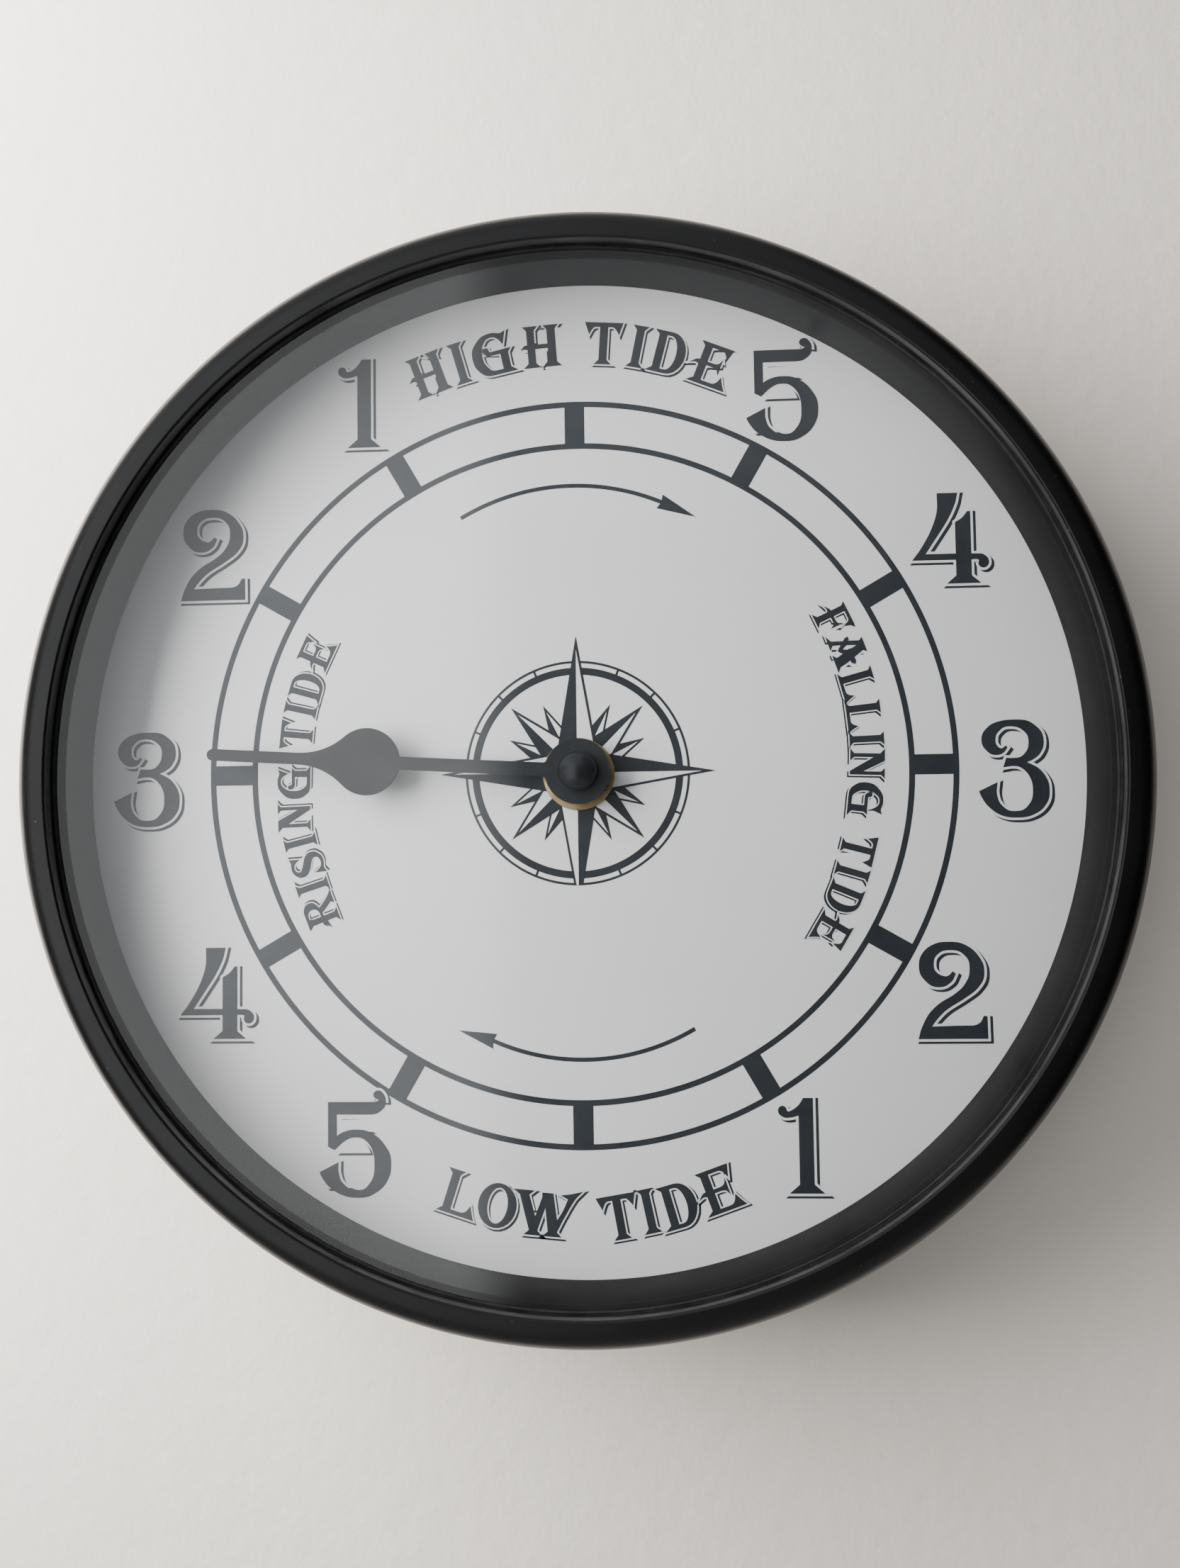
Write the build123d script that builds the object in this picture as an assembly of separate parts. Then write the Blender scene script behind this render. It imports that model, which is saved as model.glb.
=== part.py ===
from build123d import *
import math
import os

# Tide clock: a round moulded case that hangs on a wall, with one hand driven by a
# quartz movement. Lengths are millimetres. Each piece is drawn lying on its back,
# with z as the distance out from the wall, and export stands it up facing -Y.
os.makedirs("parts", exist_ok=True)

# Case, a moulding with a skirt and a rounded rim
rim_radius = 125.0
case_depth = 42.0
rim_round = 4.5
rim_inner_round = 0.6
skirt_draft = 0.8
skirt_wall = 2.0
rim_wall = 2.4
collar_depth = 3.0
rim_crown = 3.0
rim_core_rise = 2.1

# Ring between the dial and the lens
spacer_inset = 8.6
spacer_wall = 1.8
spacer_clearance = 0.1

# Lens and the bead of glue that holds it
lens_thickness = 2.0
lens_ledge = 1.2
lens_recess = 3.3
glue_width = 0.3
glue_rise = 0.5

# Dial card and the plate behind it
dial_sink = 21.2
card_thickness = 0.4
card_cover = 0.7
plate_thickness = 1.6
plate_clearance = 0.35
plate_rib = 1.4
plate_rib_height = 1.2
plate_hub_radius = 66.0
plate_rib_margin = 15.85
plate_rib_count = 8

# Screws through the plate into bosses along the skirt
screw_count = 6
screw_start_angle = 30
screw_inset = 5.1
screw_radius = 1.0
screw_length = 6.0
screw_head_radius = 1.8
screw_head_height = 1.3
screw_fit = 0.05
screw_hole_clearance = 0.25
boss_radius = 3.2

# Threaded bushing, nut and washers at the middle
bushing_radius = 4.0
bushing_flange_radius = 6.0
bushing_flange_thickness = 0.6
bushing_rise = 3.2
hole_clearance = 0.1
rubber_radius = 9.0
rubber_thickness = 1.0
washer_radius = 8.35
washer_thickness = 0.6
nut_flats = 11.0
nut_thickness = 2.0
nut_chamfer = 0.4

# Stamped hanger: a channel clamped by the movement, with a welded tab whose hole lies close to the wall
hanger_sheet = 0.8
hanger_width = 24.0
hanger_foot = 14.0
hanger_gap = 3.2
hanger_wall_gap = 3.2
hanger_hole_radius = 4.5
hanger_hole_height = 45.0
hanger_top = 55.0
hanger_corner = 6.0
hanger_bend = 0.9
hanger_flange = 2.4

# Movement housing and its rear cover
housing_side = 56.0
housing_corner = 3.0
housing_wall = 1.2
housing_floor = 1.4
housing_depth = 15.4
cover_thickness = 1.2
cover_lip = 0.8
cover_lip_height = 1.0
cover_clearance = 0.1
bay_width = 15.0

# AA cell and its contacts
cell_radius = 7.1
cell_length = 49.2
cell_button_radius = 2.7
cell_button_length = 1.0
cell_crimp = 0.5
cell_floor_gap = 0.1
contact_sheet = 0.3
contact_width = 10.0
contact_gap = 0.05
contact_tail = 3.0

# Going train: teeth, modules and centre lines
running_clearance = 0.04
pinion_leaves = 8
centre_teeth = 64
third_teeth = 60
seconds_teeth = 32
intermediate_teeth = 60
centre_module = 0.26
third_module = 0.22
seconds_module = 0.28
intermediate_module = 0.16
third_angle = 105
seconds_angle = 40
intermediate_angle = 30
rotor_angle = 5
wheel_thickness = 0.7
pinion_gap = 0.3
arbor_radius = 0.45
rotor_arbor_radius = 0.3
bearing_wall = 0.35
bearing_depth = 1.0

# Motion work that turns the hand, set by the knob
tide_teeth = 40
motion_leaves = 10
motion_teeth = 36
centre_leaves = 12
motion_module = 0.4
tide_shaft_radius = 2.5
tide_shaft_rise = 4.4
tide_wheel_thickness = 1.2
motion_arbor_radius = 0.75
motion_pivot_radius = 0.5
centre_post_radius = 0.8
centre_pipe_radius = 1.7
centre_clutch_radius = 3.0
knob_radius = 4.5
knob_thickness = 1.8
knob_flutes = 16
knob_flute_depth = 0.35
knob_proud = 0.4
knob_well_clearance = 0.7
knob_slot_width = 0.9
knob_slot_depth = 0.6

# Levels of the wheels, counted from the inside of the rear cover
intermediate_level = 1.8
seconds_level = 3.2
third_level = 4.8
centre_level = 6.6
motion_level = 8.9
pinion_overhang = 0.3

# Shape of the teeth: heights as shares of the module, widths as shares of the pitch
wheel_addendum_share = 0.9
wheel_dedendum_share = 1.2
wheel_root_share = 0.62
wheel_tip_share = 0.14
pinion_addendum_share = 0.7
pinion_dedendum_share = 1.25
pinion_root_share = 0.42
pinion_tip_share = 0.16

# Stepping motor
magnet_radius = 2.5
magnet_height = 3.0
magnet_level = 3.6
stator_thickness = 1.0
stator_air_gap = 0.4
stator_eye_wall = 1.5
stator_leg_width = 4.4
stator_arm_width = 2.5
core_width = 2.2
core_thickness = 1.0
core_x = 22.3
core_reach = 8.2
winding_radius = 3.0
bobbin_flange_radius = 3.5
bobbin_flange = 0.8
bobbin_gap = 0.6
stator_post_radius = 1.2

# Circuit board
board_thickness = 0.8
board_level = 9.2
board_inner_x = 11.5
board_edge_gap = 0.8
board_post_radius = 1.5
crystal_radius = 1.0
crystal_length = 6.2
chip_radius = 3.0
chip_height = 1.0

# Hand, stamped from thin sheet, and its domed cap
hand_angle = 176.5
hand_length = 86.4
hand_sheet = 0.5
hand_gap = 1.6
hand_hub_radius = 7.6
hand_arm_hub_half = 1.65
hand_arm_disc_half = 1.52
hand_disc_centre = 49.2
hand_disc_radius = 7.65
hand_pointer_half = 1.38
hand_neck = 66.2
hand_corner = 0.7
collet_radius = 3.6
collet_length = 1.3
cap_radius = 4.5
cap_edge = 1.6
cap_dome = 2.6
cap_plug_radius = 1.6
cap_plug_length = 1.5

cut_overrun = 1.0
diagonal_share = math.cos(math.radians(45))

# Radii of the case, the ring and the plate, counted in from the rim
skirt_back_radius = rim_radius - skirt_draft
spacer_radius = rim_radius - spacer_inset
spacer_outer = spacer_radius + spacer_wall
collar_radius = spacer_outer + spacer_clearance
lens_opening = spacer_radius + lens_ledge
lens_radius = lens_opening - glue_width
plate_radius = skirt_back_radius - skirt_wall - plate_clearance
screw_circle_radius = rim_radius - screw_inset

# Heights above the wall that several pieces share
dial_front = case_depth - dial_sink
card_back = dial_front - card_thickness
plate_back = card_back - plate_thickness
rubber_back = plate_back - rubber_thickness
movement_front = rubber_back - hanger_sheet
hanger_riser = housing_side / 2 + hanger_gap
hanger_tab_front = hanger_wall_gap + hanger_sheet
floor_face = movement_front - housing_floor
movement_back = movement_front - housing_depth
cover_face = movement_back + cover_thickness
lens_front = case_depth - lens_recess
lens_seat = lens_front - lens_thickness
washer_front = dial_front + washer_thickness
nut_front = washer_front + nut_thickness
bushing_front = dial_front + bushing_rise
hand_back = bushing_front + hand_gap
hand_front = hand_back + hand_sheet
knob_back = movement_back - knob_proud
inside_half = housing_side / 2 - housing_wall
bay_low = -inside_half
bay_high = bay_low + bay_width
divider_high = bay_high + housing_wall


def polar(radius, degrees):
    """Point at a radius and an angle, counted from +X."""
    angle = math.radians(degrees)
    return (radius * math.cos(angle), radius * math.sin(angle))


def step_from(point, distance, degrees):
    """Point at a distance and an angle from another point."""
    dx, dy = polar(distance, degrees)
    return (point[0] + dx, point[1] + dy)


def disc(radius, low, high, centre=(0, 0)):
    """Plain cylinder between two heights."""
    return Pos(centre[0], centre[1], low) * extrude(Circle(radius), high - low)


def ring(outer, inner, low, high, centre=(0, 0)):
    """Washer between two heights."""
    return Pos(centre[0], centre[1], low) * extrude(Circle(outer) - Circle(inner), high - low)


def slab(x_low, x_high, y_low, y_high, low, high):
    """Block between two corners."""
    block = Box(x_high - x_low, y_high - y_low, high - low, align=(Align.MIN, Align.MIN, Align.MIN))
    return Pos(x_low, y_low, low) * block


def turned(lines):
    """Solid of revolution about z from edges drawn in the XZ plane."""
    return revolve(make_face(lines), Axis.Z)


def outline(points):
    """Closed outline through (radius, height) points, for turning."""
    return Polyline(*[(r, 0, z) for r, z in points], close=True)


# Gear train geometry


def pitch_radius(teeth, module):
    return teeth * module / 2


def centre_distance(teeth, leaves, module):
    return (teeth + leaves) * module / 2


def toothed_face(count, root, tip, root_share, tip_share, phase):
    """Outline of straight-sided teeth, with tooth widths as shares of the pitch."""
    pitch = 360 / count
    points = []
    for number in range(count):
        middle = phase + number * pitch
        for radius, offset in (
            (root, -root_share),
            (tip, -tip_share),
            (tip, tip_share),
            (root, root_share),
        ):
            points.append(polar(radius, middle + offset * pitch / 2))
    return make_face(Polyline(*points, close=True))


def wheel_face(teeth, module, phase):
    reach = pitch_radius(teeth, module)
    return toothed_face(
        teeth,
        reach - wheel_dedendum_share * module,
        reach + wheel_addendum_share * module,
        wheel_root_share,
        wheel_tip_share,
        phase,
    )


def pinion_face(leaves, module, phase):
    reach = pitch_radius(leaves, module)
    return toothed_face(
        leaves,
        reach - pinion_dedendum_share * module,
        reach + pinion_addendum_share * module,
        pinion_root_share,
        pinion_tip_share,
        phase,
    )


def meshed_phase(phase, teeth, mate_teeth, line_angle):
    """Angle of a mate's first tooth, so that its gap meets a tooth on the centre line."""
    behind = line_angle - phase
    return line_angle + 180 + 180 / mate_teeth + behind * teeth / mate_teeth


centre_axis = (0, 0)
motion_distance = centre_distance(tide_teeth, motion_leaves, motion_module)
motion_axis = (motion_distance, 0)
setting_module = 2 * motion_distance / (motion_teeth + centre_leaves)
third_axis = step_from(
    centre_axis, centre_distance(centre_teeth, pinion_leaves, centre_module), third_angle
)
seconds_axis = step_from(
    third_axis, centre_distance(third_teeth, pinion_leaves, third_module), seconds_angle
)
intermediate_axis = step_from(
    seconds_axis, centre_distance(seconds_teeth, pinion_leaves, seconds_module), intermediate_angle
)
rotor_axis = step_from(
    intermediate_axis,
    centre_distance(intermediate_teeth, pinion_leaves, intermediate_module),
    rotor_angle,
)

intermediate_low = cover_face + intermediate_level
seconds_low = cover_face + seconds_level
third_low = cover_face + third_level
centre_low = cover_face + centre_level
motion_low = cover_face + motion_level
tide_high = floor_face - pinion_gap - running_clearance
tide_low = tide_high - tide_wheel_thickness
rotor_leaf_low = intermediate_low - pinion_overhang
magnet_low = cover_face + magnet_level
magnet_high = magnet_low + magnet_height
stator_low = (magnet_low + magnet_high - stator_thickness) / 2
stator_high = stator_low + stator_thickness
board_low = cover_face + board_level
board_high = board_low + board_thickness
well_floor = knob_back + knob_thickness + pinion_gap
well_radius = knob_radius + knob_well_clearance


# Case, lens and dial


def case_frame():
    """Skirt, rounded rim and collar for the ring in one moulding, with screw bosses."""
    skirt_inner_back = skirt_back_radius - skirt_wall
    rim_low = case_depth - rim_round
    skirt_inner_top = rim_radius - skirt_wall
    core_inner = lens_opening + rim_wall
    core_top = case_depth - rim_crown
    core_low = core_top - rim_core_rise
    collar_low = lens_seat - collar_depth
    crest_inner = lens_opening + rim_inner_round
    face_top = case_depth - rim_inner_round
    rise_middle = rim_inner_round * (1 - diagonal_share)
    crest_outer = rim_radius - rim_round
    round_middle = rim_round * diagonal_share
    lines = [
        Line((collar_radius, 0, lens_seat), (lens_opening, 0, lens_seat)),
        Line((lens_opening, 0, lens_seat), (lens_opening, 0, face_top)),
        ThreePointArc(
            (lens_opening, 0, face_top),
            (lens_opening + rise_middle, 0, case_depth - rise_middle),
            (crest_inner, 0, case_depth),
        ),
        Line((crest_inner, 0, case_depth), (crest_outer, 0, case_depth)),
        ThreePointArc(
            (crest_outer, 0, case_depth),
            (crest_outer + round_middle, 0, rim_low + round_middle),
            (rim_radius, 0, rim_low),
        ),
        Polyline(
            (rim_radius, 0, rim_low),
            (skirt_back_radius, 0, 0),
            (skirt_inner_back, 0, 0),
            (skirt_inner_top, 0, core_low),
            (skirt_inner_top - rim_inner_round, 0, core_top),
            (core_inner, 0, core_top),
            (core_inner, 0, collar_low),
            (collar_radius, 0, collar_low),
            (collar_radius, 0, lens_seat),
        ),
    ]
    shell = turned(Curve() + lines)
    boss = disc(boss_radius, card_back, lens_seat)
    ring_space = disc(collar_radius, card_back, lens_seat)
    pilot = disc(screw_radius + screw_fit, card_back - cut_overrun, plate_back + screw_length + cut_overrun)
    places = PolarLocations(screw_circle_radius, screw_count, screw_start_angle)
    bosses = [(place * boss) - ring_space for place in places]
    return shell + bosses - [place * pilot for place in places]


def spacer_ring():
    """Ring that stands on the edge of the dial and carries the lens."""
    return ring(spacer_outer, spacer_radius, dial_front, lens_seat)


def lens():
    return disc(lens_radius, lens_seat, lens_front)


def lens_glue():
    """Fillet of clear glue round the edge of the lens."""
    return turned(
        outline(
            [
                (lens_radius, lens_seat),
                (lens_opening, lens_seat),
                (lens_opening, lens_front + glue_rise),
                (lens_radius - glue_width, lens_front),
                (lens_radius, lens_front),
            ]
        )
    )


def dial_card():
    return ring(
        spacer_radius + card_cover, bushing_radius + hole_clearance, card_back, dial_front
    )


def back_plate():
    """Disc that carries the movement, stiffened by a ring and radial ribs on its back."""
    plate = disc(plate_radius, plate_back, card_back)
    rib_low = plate_back - plate_rib_height
    plate += ring(plate_hub_radius + plate_rib, plate_hub_radius, rib_low, plate_back)
    rib_start = plate_hub_radius + plate_rib / 2
    rib_end = plate_radius - plate_rib_margin
    rib = slab(rib_start, rib_end, -plate_rib / 2, plate_rib / 2, rib_low, plate_back)
    plate += [Rot(0, 0, number * 360 / plate_rib_count) * rib for number in range(plate_rib_count)]
    hole = disc(screw_radius + screw_hole_clearance, plate_back - cut_overrun, card_back + cut_overrun)
    plate -= [place * hole for place in PolarLocations(screw_circle_radius, screw_count, screw_start_angle)]
    return plate - disc(bushing_radius + hole_clearance, plate_back - cut_overrun, card_back + cut_overrun)


def dome(radius, height, base):
    """Spherical cap of a given height, standing on a base level, bulging out from the wall."""
    sphere = (radius**2 + height**2) / (2 * height)
    ball = Pos(0, 0, base + height - sphere) * Sphere(sphere)
    return ball & disc(sphere, base, base + height + cut_overrun)


def plate_screws():
    head = Pos(0, 0, plate_back) * (Rot(180, 0, 0) * dome(screw_head_radius, screw_head_height, 0))
    screw = head + disc(screw_radius, plate_back, plate_back + screw_length)
    places = PolarLocations(screw_circle_radius, screw_count, screw_start_angle)
    return Compound([place * screw for place in places])


# Fixings at the middle


def rubber_washer():
    return ring(rubber_radius, bushing_radius + hole_clearance, rubber_back, plate_back)


def brass_washer():
    return ring(washer_radius, bushing_radius + hole_clearance, dial_front, washer_front)


def hex_nut():
    """Thin hexagon nut with its corners turned off on the front."""
    corner = nut_flats / 2 / math.cos(math.radians(30))
    nut = Pos(0, 0, washer_front) * extrude(RegularPolygon(corner, 6), nut_thickness)
    cone = turned(
        outline(
            [
                (0, washer_front),
                (corner + nut_chamfer, washer_front),
                (corner + nut_chamfer, nut_front - 2 * nut_chamfer),
                (nut_flats / 2 - nut_chamfer / 2, nut_front),
                (0, nut_front),
            ]
        )
    )
    return (nut & cone) - disc(bushing_radius + hole_clearance, dial_front, nut_front + cut_overrun)


def threaded_bushing():
    flange_top = floor_face + bushing_flange_thickness
    body = disc(bushing_flange_radius, floor_face, flange_top) + disc(bushing_radius, flange_top, bushing_front)
    bore = disc(tide_shaft_radius + running_clearance, floor_face - cut_overrun, bushing_front + cut_overrun)
    return body - bore


def hanger_bracket():
    """Channel strip: a foot held by the movement, a riser beside it, and a flange that carries the tab."""
    foot_low = movement_front
    foot_high = movement_front + hanger_sheet
    flange_high = hanger_tab_front + hanger_sheet
    side = [
        (-hanger_foot, foot_low),
        (hanger_riser - hanger_bend, foot_low),
        (hanger_riser, foot_low - hanger_bend),
        (hanger_riser, flange_high + hanger_bend),
        (hanger_riser - hanger_bend, flange_high),
        (hanger_riser - hanger_flange, flange_high),
        (hanger_riser - hanger_flange, hanger_tab_front),
        (hanger_riser, hanger_tab_front),
        (hanger_riser + hanger_sheet, hanger_tab_front + hanger_bend),
        (hanger_riser + hanger_sheet, foot_high - hanger_bend),
        (hanger_riser, foot_high),
        (-hanger_foot, foot_high),
    ]
    profile = make_face(Polyline(*[(0, y, z) for y, z in side], close=True))
    strip = extrude(profile, hanger_width / 2, dir=(1, 0, 0), both=True)
    shaft_hole = disc(bushing_radius + hole_clearance, foot_low - cut_overrun, foot_high + cut_overrun)
    return strip - shaft_hole


def hanger_tab():
    """Flat plate welded to the channel's flange, with the hanging hole."""
    half = hanger_width / 2
    plate = slab(-half, half, hanger_riser - hanger_flange, hanger_top, hanger_wall_gap, hanger_tab_front)
    top_edges = plate.edges().filter_by(Axis.Z).sort_by(Axis.Y)[-2:]
    plate = fillet(top_edges, hanger_corner)
    hanging_hole = disc(
        hanger_hole_radius,
        hanger_wall_gap - cut_overrun,
        hanger_tab_front + cut_overrun,
        (0, hanger_hole_height),
    )
    return plate - hanging_hole


# Movement housing


def bearing(axis, radius, low, high, hole_low, hole_high):
    """Post with a blind bearing hole for an arbor of the given radius."""
    post = disc(radius + running_clearance + bearing_wall, low, high, axis)
    return post, disc(radius + running_clearance, hole_low, hole_high, axis)


def movement_housing():
    """Square tray open at the back, with a cell bay, bearing posts and mounting posts."""
    half = housing_side / 2
    low = cover_face
    tray = Pos(0, 0, low) * extrude(
        RectangleRounded(housing_side, housing_side, housing_corner), movement_front - low
    )
    bay_rim = slab(-half, half, -half, divider_high, movement_back, low)
    tray += bay_rim & (
        Pos(0, 0, movement_back)
        * extrude(RectangleRounded(housing_side, housing_side, housing_corner), cover_thickness)
    )
    tray -= slab(-inside_half, inside_half, divider_high, inside_half, low - cut_overrun, floor_face)
    tray -= slab(-inside_half, inside_half, bay_low, bay_high, movement_back - cut_overrun, floor_face)
    for axis, top in front_posts():
        post, hole = bearing(axis, arbor_radius, top, floor_face, top - cut_overrun, top + bearing_depth)
        tray = tray + post - hole
    rotor_top = magnet_high + 2 * pinion_gap
    post, hole = bearing(
        rotor_axis, rotor_arbor_radius, rotor_top, floor_face, rotor_top - cut_overrun, rotor_top + bearing_depth
    )
    tray = tray + post - hole
    for axis in stator_posts():
        tray += disc(stator_post_radius, stator_high, floor_face, axis)
    for axis in board_posts():
        tray += disc(board_post_radius, board_high, floor_face, axis)
    tray -= disc(
        motion_pivot_radius + running_clearance, floor_face - cut_overrun, floor_face + bearing_depth, motion_axis
    )
    flange_top = floor_face + bushing_flange_thickness
    tray -= disc(bushing_flange_radius, floor_face - cut_overrun, flange_top)
    tray -= disc(bushing_radius, flange_top - cut_overrun, movement_front + cut_overrun)
    for x_low, x_high in ((-inside_half, -inside_half + contact_tail), (inside_half - contact_tail, inside_half)):
        tray -= slab(
            x_low, x_high, bay_high - cut_overrun, divider_high + cut_overrun, board_low - contact_tail, board_low
        )
    return tray


def front_posts():
    """Bearing posts on the housing floor, each with the height of its end."""
    return (
        (third_axis, centre_low + wheel_thickness + pinion_overhang + 2 * pinion_gap),
        (seconds_axis, third_low + wheel_thickness + pinion_overhang + 2 * pinion_gap),
        (intermediate_axis, seconds_low + wheel_thickness + pinion_overhang + 2 * pinion_gap),
    )


def stator_ends():
    """Heights along the coil at which the two stator arms start."""
    low = rotor_axis[1] - core_reach
    high = rotor_axis[1] + core_reach - stator_arm_width
    return low, high


def stator_posts():
    low, high = stator_ends()
    middle = stator_arm_width / 2
    return ((rotor_axis[0], low + middle), (rotor_axis[0], high + middle))


def board_posts():
    x = -(board_inner_x + inside_half - board_edge_gap) / 2
    low = divider_high + board_edge_gap + 2 * board_post_radius
    high = inside_half - board_edge_gap - 2 * board_post_radius
    return ((x, low), (x, high))


def rear_cover():
    """Lid over the train, with a well for the knob, bearing posts and the centre post."""
    half = housing_side / 2
    lid = slab(-half, half, divider_high, half, movement_back, cover_face)
    lid &= Pos(0, 0, movement_back) * extrude(
        RectangleRounded(housing_side, housing_side, housing_corner), cover_thickness
    )
    lip_outer = inside_half - cover_clearance
    lip_inner = lip_outer - cover_lip
    lip_bottom = divider_high + cover_clearance
    lip_top = cover_face + cover_lip_height
    lid += slab(-lip_outer, lip_outer, lip_bottom, lip_outer, cover_face, lip_top)
    lid -= slab(-lip_inner, lip_inner, lip_bottom + cover_lip, lip_inner, cover_face, lip_top + cut_overrun)
    lid += disc(well_radius + cover_lip, cover_face - cover_lip, well_floor + cover_lip, motion_axis)
    lid -= disc(well_radius, movement_back - cut_overrun, well_floor, motion_axis)
    post, hole = bearing(
        motion_axis,
        motion_arbor_radius,
        well_floor,
        well_floor + 2 * bearing_depth,
        well_floor - cut_overrun,
        well_floor + 3 * bearing_depth,
    )
    lid = lid + post - hole
    rests = (
        (third_axis, arbor_radius, third_low - 2 * pinion_gap),
        (seconds_axis, arbor_radius, intermediate_low - 2 * pinion_gap),
        (intermediate_axis, arbor_radius, intermediate_low - 2 * pinion_gap),
        (rotor_axis, rotor_arbor_radius, rotor_leaf_low - pinion_gap),
    )
    for axis, radius, top in rests:
        post, hole = bearing(axis, radius, cover_face, top, top - bearing_depth, top + cut_overrun)
        lid = lid + post - hole
    lid += disc(centre_pipe_radius + bearing_wall, cover_face, centre_low - 2 * pinion_gap)
    lid += disc(centre_post_radius, centre_low - 2 * pinion_gap, tide_low - pinion_gap)
    return lid


# Wheels of the going train


def train_wheel(axis, wheel, wheel_low, pinion, pinion_low, pinion_high, low, high, radius):
    """Wheel, pinion and arbor moulded in one."""
    solid = Pos(0, 0, wheel_low) * extrude(wheel, wheel_thickness)
    solid += Pos(0, 0, pinion_low) * extrude(pinion, pinion_high - pinion_low)
    solid += disc(radius, low, high)
    return Pos(axis[0], axis[1], 0) * solid


def train_phases():
    """Angle of each wheel's first tooth, with every pair in mesh. A wheel and its own
    pinion share one phase."""
    third = meshed_phase(0, centre_teeth, pinion_leaves, third_angle)
    seconds = meshed_phase(third, third_teeth, pinion_leaves, seconds_angle)
    intermediate = meshed_phase(seconds, seconds_teeth, pinion_leaves, intermediate_angle)
    rotor = meshed_phase(intermediate, intermediate_teeth, pinion_leaves, rotor_angle)
    return third, seconds, intermediate, rotor


third_phase, seconds_phase, intermediate_phase, rotor_phase = train_phases()


def centre_wheel():
    """Wheel that slips on the centre pinion's pipe when the hand is set."""
    wheel = extrude(wheel_face(centre_teeth, centre_module, 0), wheel_thickness)
    return Pos(0, 0, centre_low) * (wheel - Cylinder(centre_pipe_radius + running_clearance, case_depth))


def centre_pinion():
    """Pipe on the centre post, with the clutch flange and the leaves that drive the motion wheel."""
    pipe_low = centre_low - pinion_gap
    flange_low = centre_low + wheel_thickness
    leaf_low = motion_low - pinion_overhang
    leaf_high = motion_low + wheel_thickness + pinion_overhang
    leaves = pinion_face(centre_leaves, setting_module, 0)
    solid = disc(centre_pipe_radius, pipe_low, leaf_low)
    solid += disc(centre_clutch_radius, flange_low, flange_low + pinion_gap)
    solid += Pos(0, 0, leaf_low) * extrude(leaves, leaf_high - leaf_low)
    return solid - disc(centre_post_radius + running_clearance, pipe_low - cut_overrun, leaf_high + cut_overrun)


def third_wheel():
    return train_wheel(
        third_axis,
        wheel_face(third_teeth, third_module, third_phase),
        third_low,
        pinion_face(pinion_leaves, centre_module, third_phase),
        centre_low - pinion_overhang,
        centre_low + wheel_thickness + pinion_overhang,
        third_low - 2 * pinion_gap - bearing_depth + running_clearance,
        front_posts()[0][1] + bearing_depth - running_clearance,
        arbor_radius,
    )


def seconds_wheel():
    return train_wheel(
        seconds_axis,
        wheel_face(seconds_teeth, seconds_module, seconds_phase),
        seconds_low,
        pinion_face(pinion_leaves, third_module, seconds_phase),
        third_low - pinion_overhang,
        third_low + wheel_thickness + pinion_overhang,
        intermediate_low - 2 * pinion_gap - bearing_depth + running_clearance,
        front_posts()[1][1] + bearing_depth - running_clearance,
        arbor_radius,
    )


def intermediate_wheel():
    return train_wheel(
        intermediate_axis,
        wheel_face(intermediate_teeth, intermediate_module, intermediate_phase),
        intermediate_low,
        pinion_face(pinion_leaves, seconds_module, intermediate_phase),
        seconds_low - pinion_overhang,
        seconds_low + wheel_thickness + pinion_overhang,
        intermediate_low - 2 * pinion_gap - bearing_depth + running_clearance,
        front_posts()[2][1] + bearing_depth - running_clearance,
        arbor_radius,
    )


def rotor_pinion():
    """Moulded arbor with the leaves at its back and the seat of the magnet above them."""
    leaf_high = intermediate_low + wheel_thickness + pinion_overhang
    leaves = pinion_face(pinion_leaves, intermediate_module, rotor_phase)
    solid = Pos(0, 0, rotor_leaf_low) * extrude(leaves, leaf_high - rotor_leaf_low)
    solid += disc(2 * arbor_radius, magnet_low, magnet_high)
    solid += disc(
        rotor_arbor_radius,
        rotor_leaf_low - pinion_gap - bearing_depth + running_clearance,
        magnet_high + 2 * pinion_gap + bearing_depth - running_clearance,
    )
    return Pos(rotor_axis[0], rotor_axis[1], 0) * solid


def rotor_magnet():
    return ring(magnet_radius, 2 * arbor_radius, magnet_low, magnet_high, rotor_axis)


# Motion work


def tide_wheel():
    """Last wheel, with the shaft that passes through the bushing and carries the hand."""
    wheel = wheel_face(tide_teeth, motion_module, 0)
    solid = Pos(0, 0, tide_low) * extrude(wheel, tide_wheel_thickness)
    solid += disc(tide_shaft_radius, tide_high, bushing_front + tide_shaft_rise)
    plug = disc(
        cap_plug_radius,
        bushing_front + tide_shaft_rise - cap_plug_length - cap_edge,
        bushing_front + tide_shaft_rise + cut_overrun,
    )
    return solid - plug


def motion_phases():
    """Phases of the motion wheel's leaves and teeth, and the turn that meshes the centre
    pinion with them is taken up by the wheel."""
    leaves = meshed_phase(0, tide_teeth, motion_leaves, 0)
    teeth = meshed_phase(0, centre_leaves, motion_teeth, 0)
    return leaves, teeth


def motion_wheel():
    """Motion wheel and pinion on the arbor that runs out through the cover to the knob."""
    leaf_phase, tooth_phase = motion_phases()
    leaves = pinion_face(motion_leaves, motion_module, leaf_phase)
    teeth = wheel_face(motion_teeth, setting_module, tooth_phase)
    wheel_high = motion_low + wheel_thickness
    solid = Pos(0, 0, motion_low) * extrude(teeth, wheel_thickness)
    solid += Pos(0, 0, wheel_high) * extrude(leaves, tide_high - wheel_high)
    solid += disc(motion_arbor_radius, knob_back + knob_slot_depth, motion_low)
    solid += disc(motion_pivot_radius, tide_high, floor_face + bearing_depth - running_clearance)
    return Pos(motion_axis[0], motion_axis[1], 0) * solid


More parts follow.
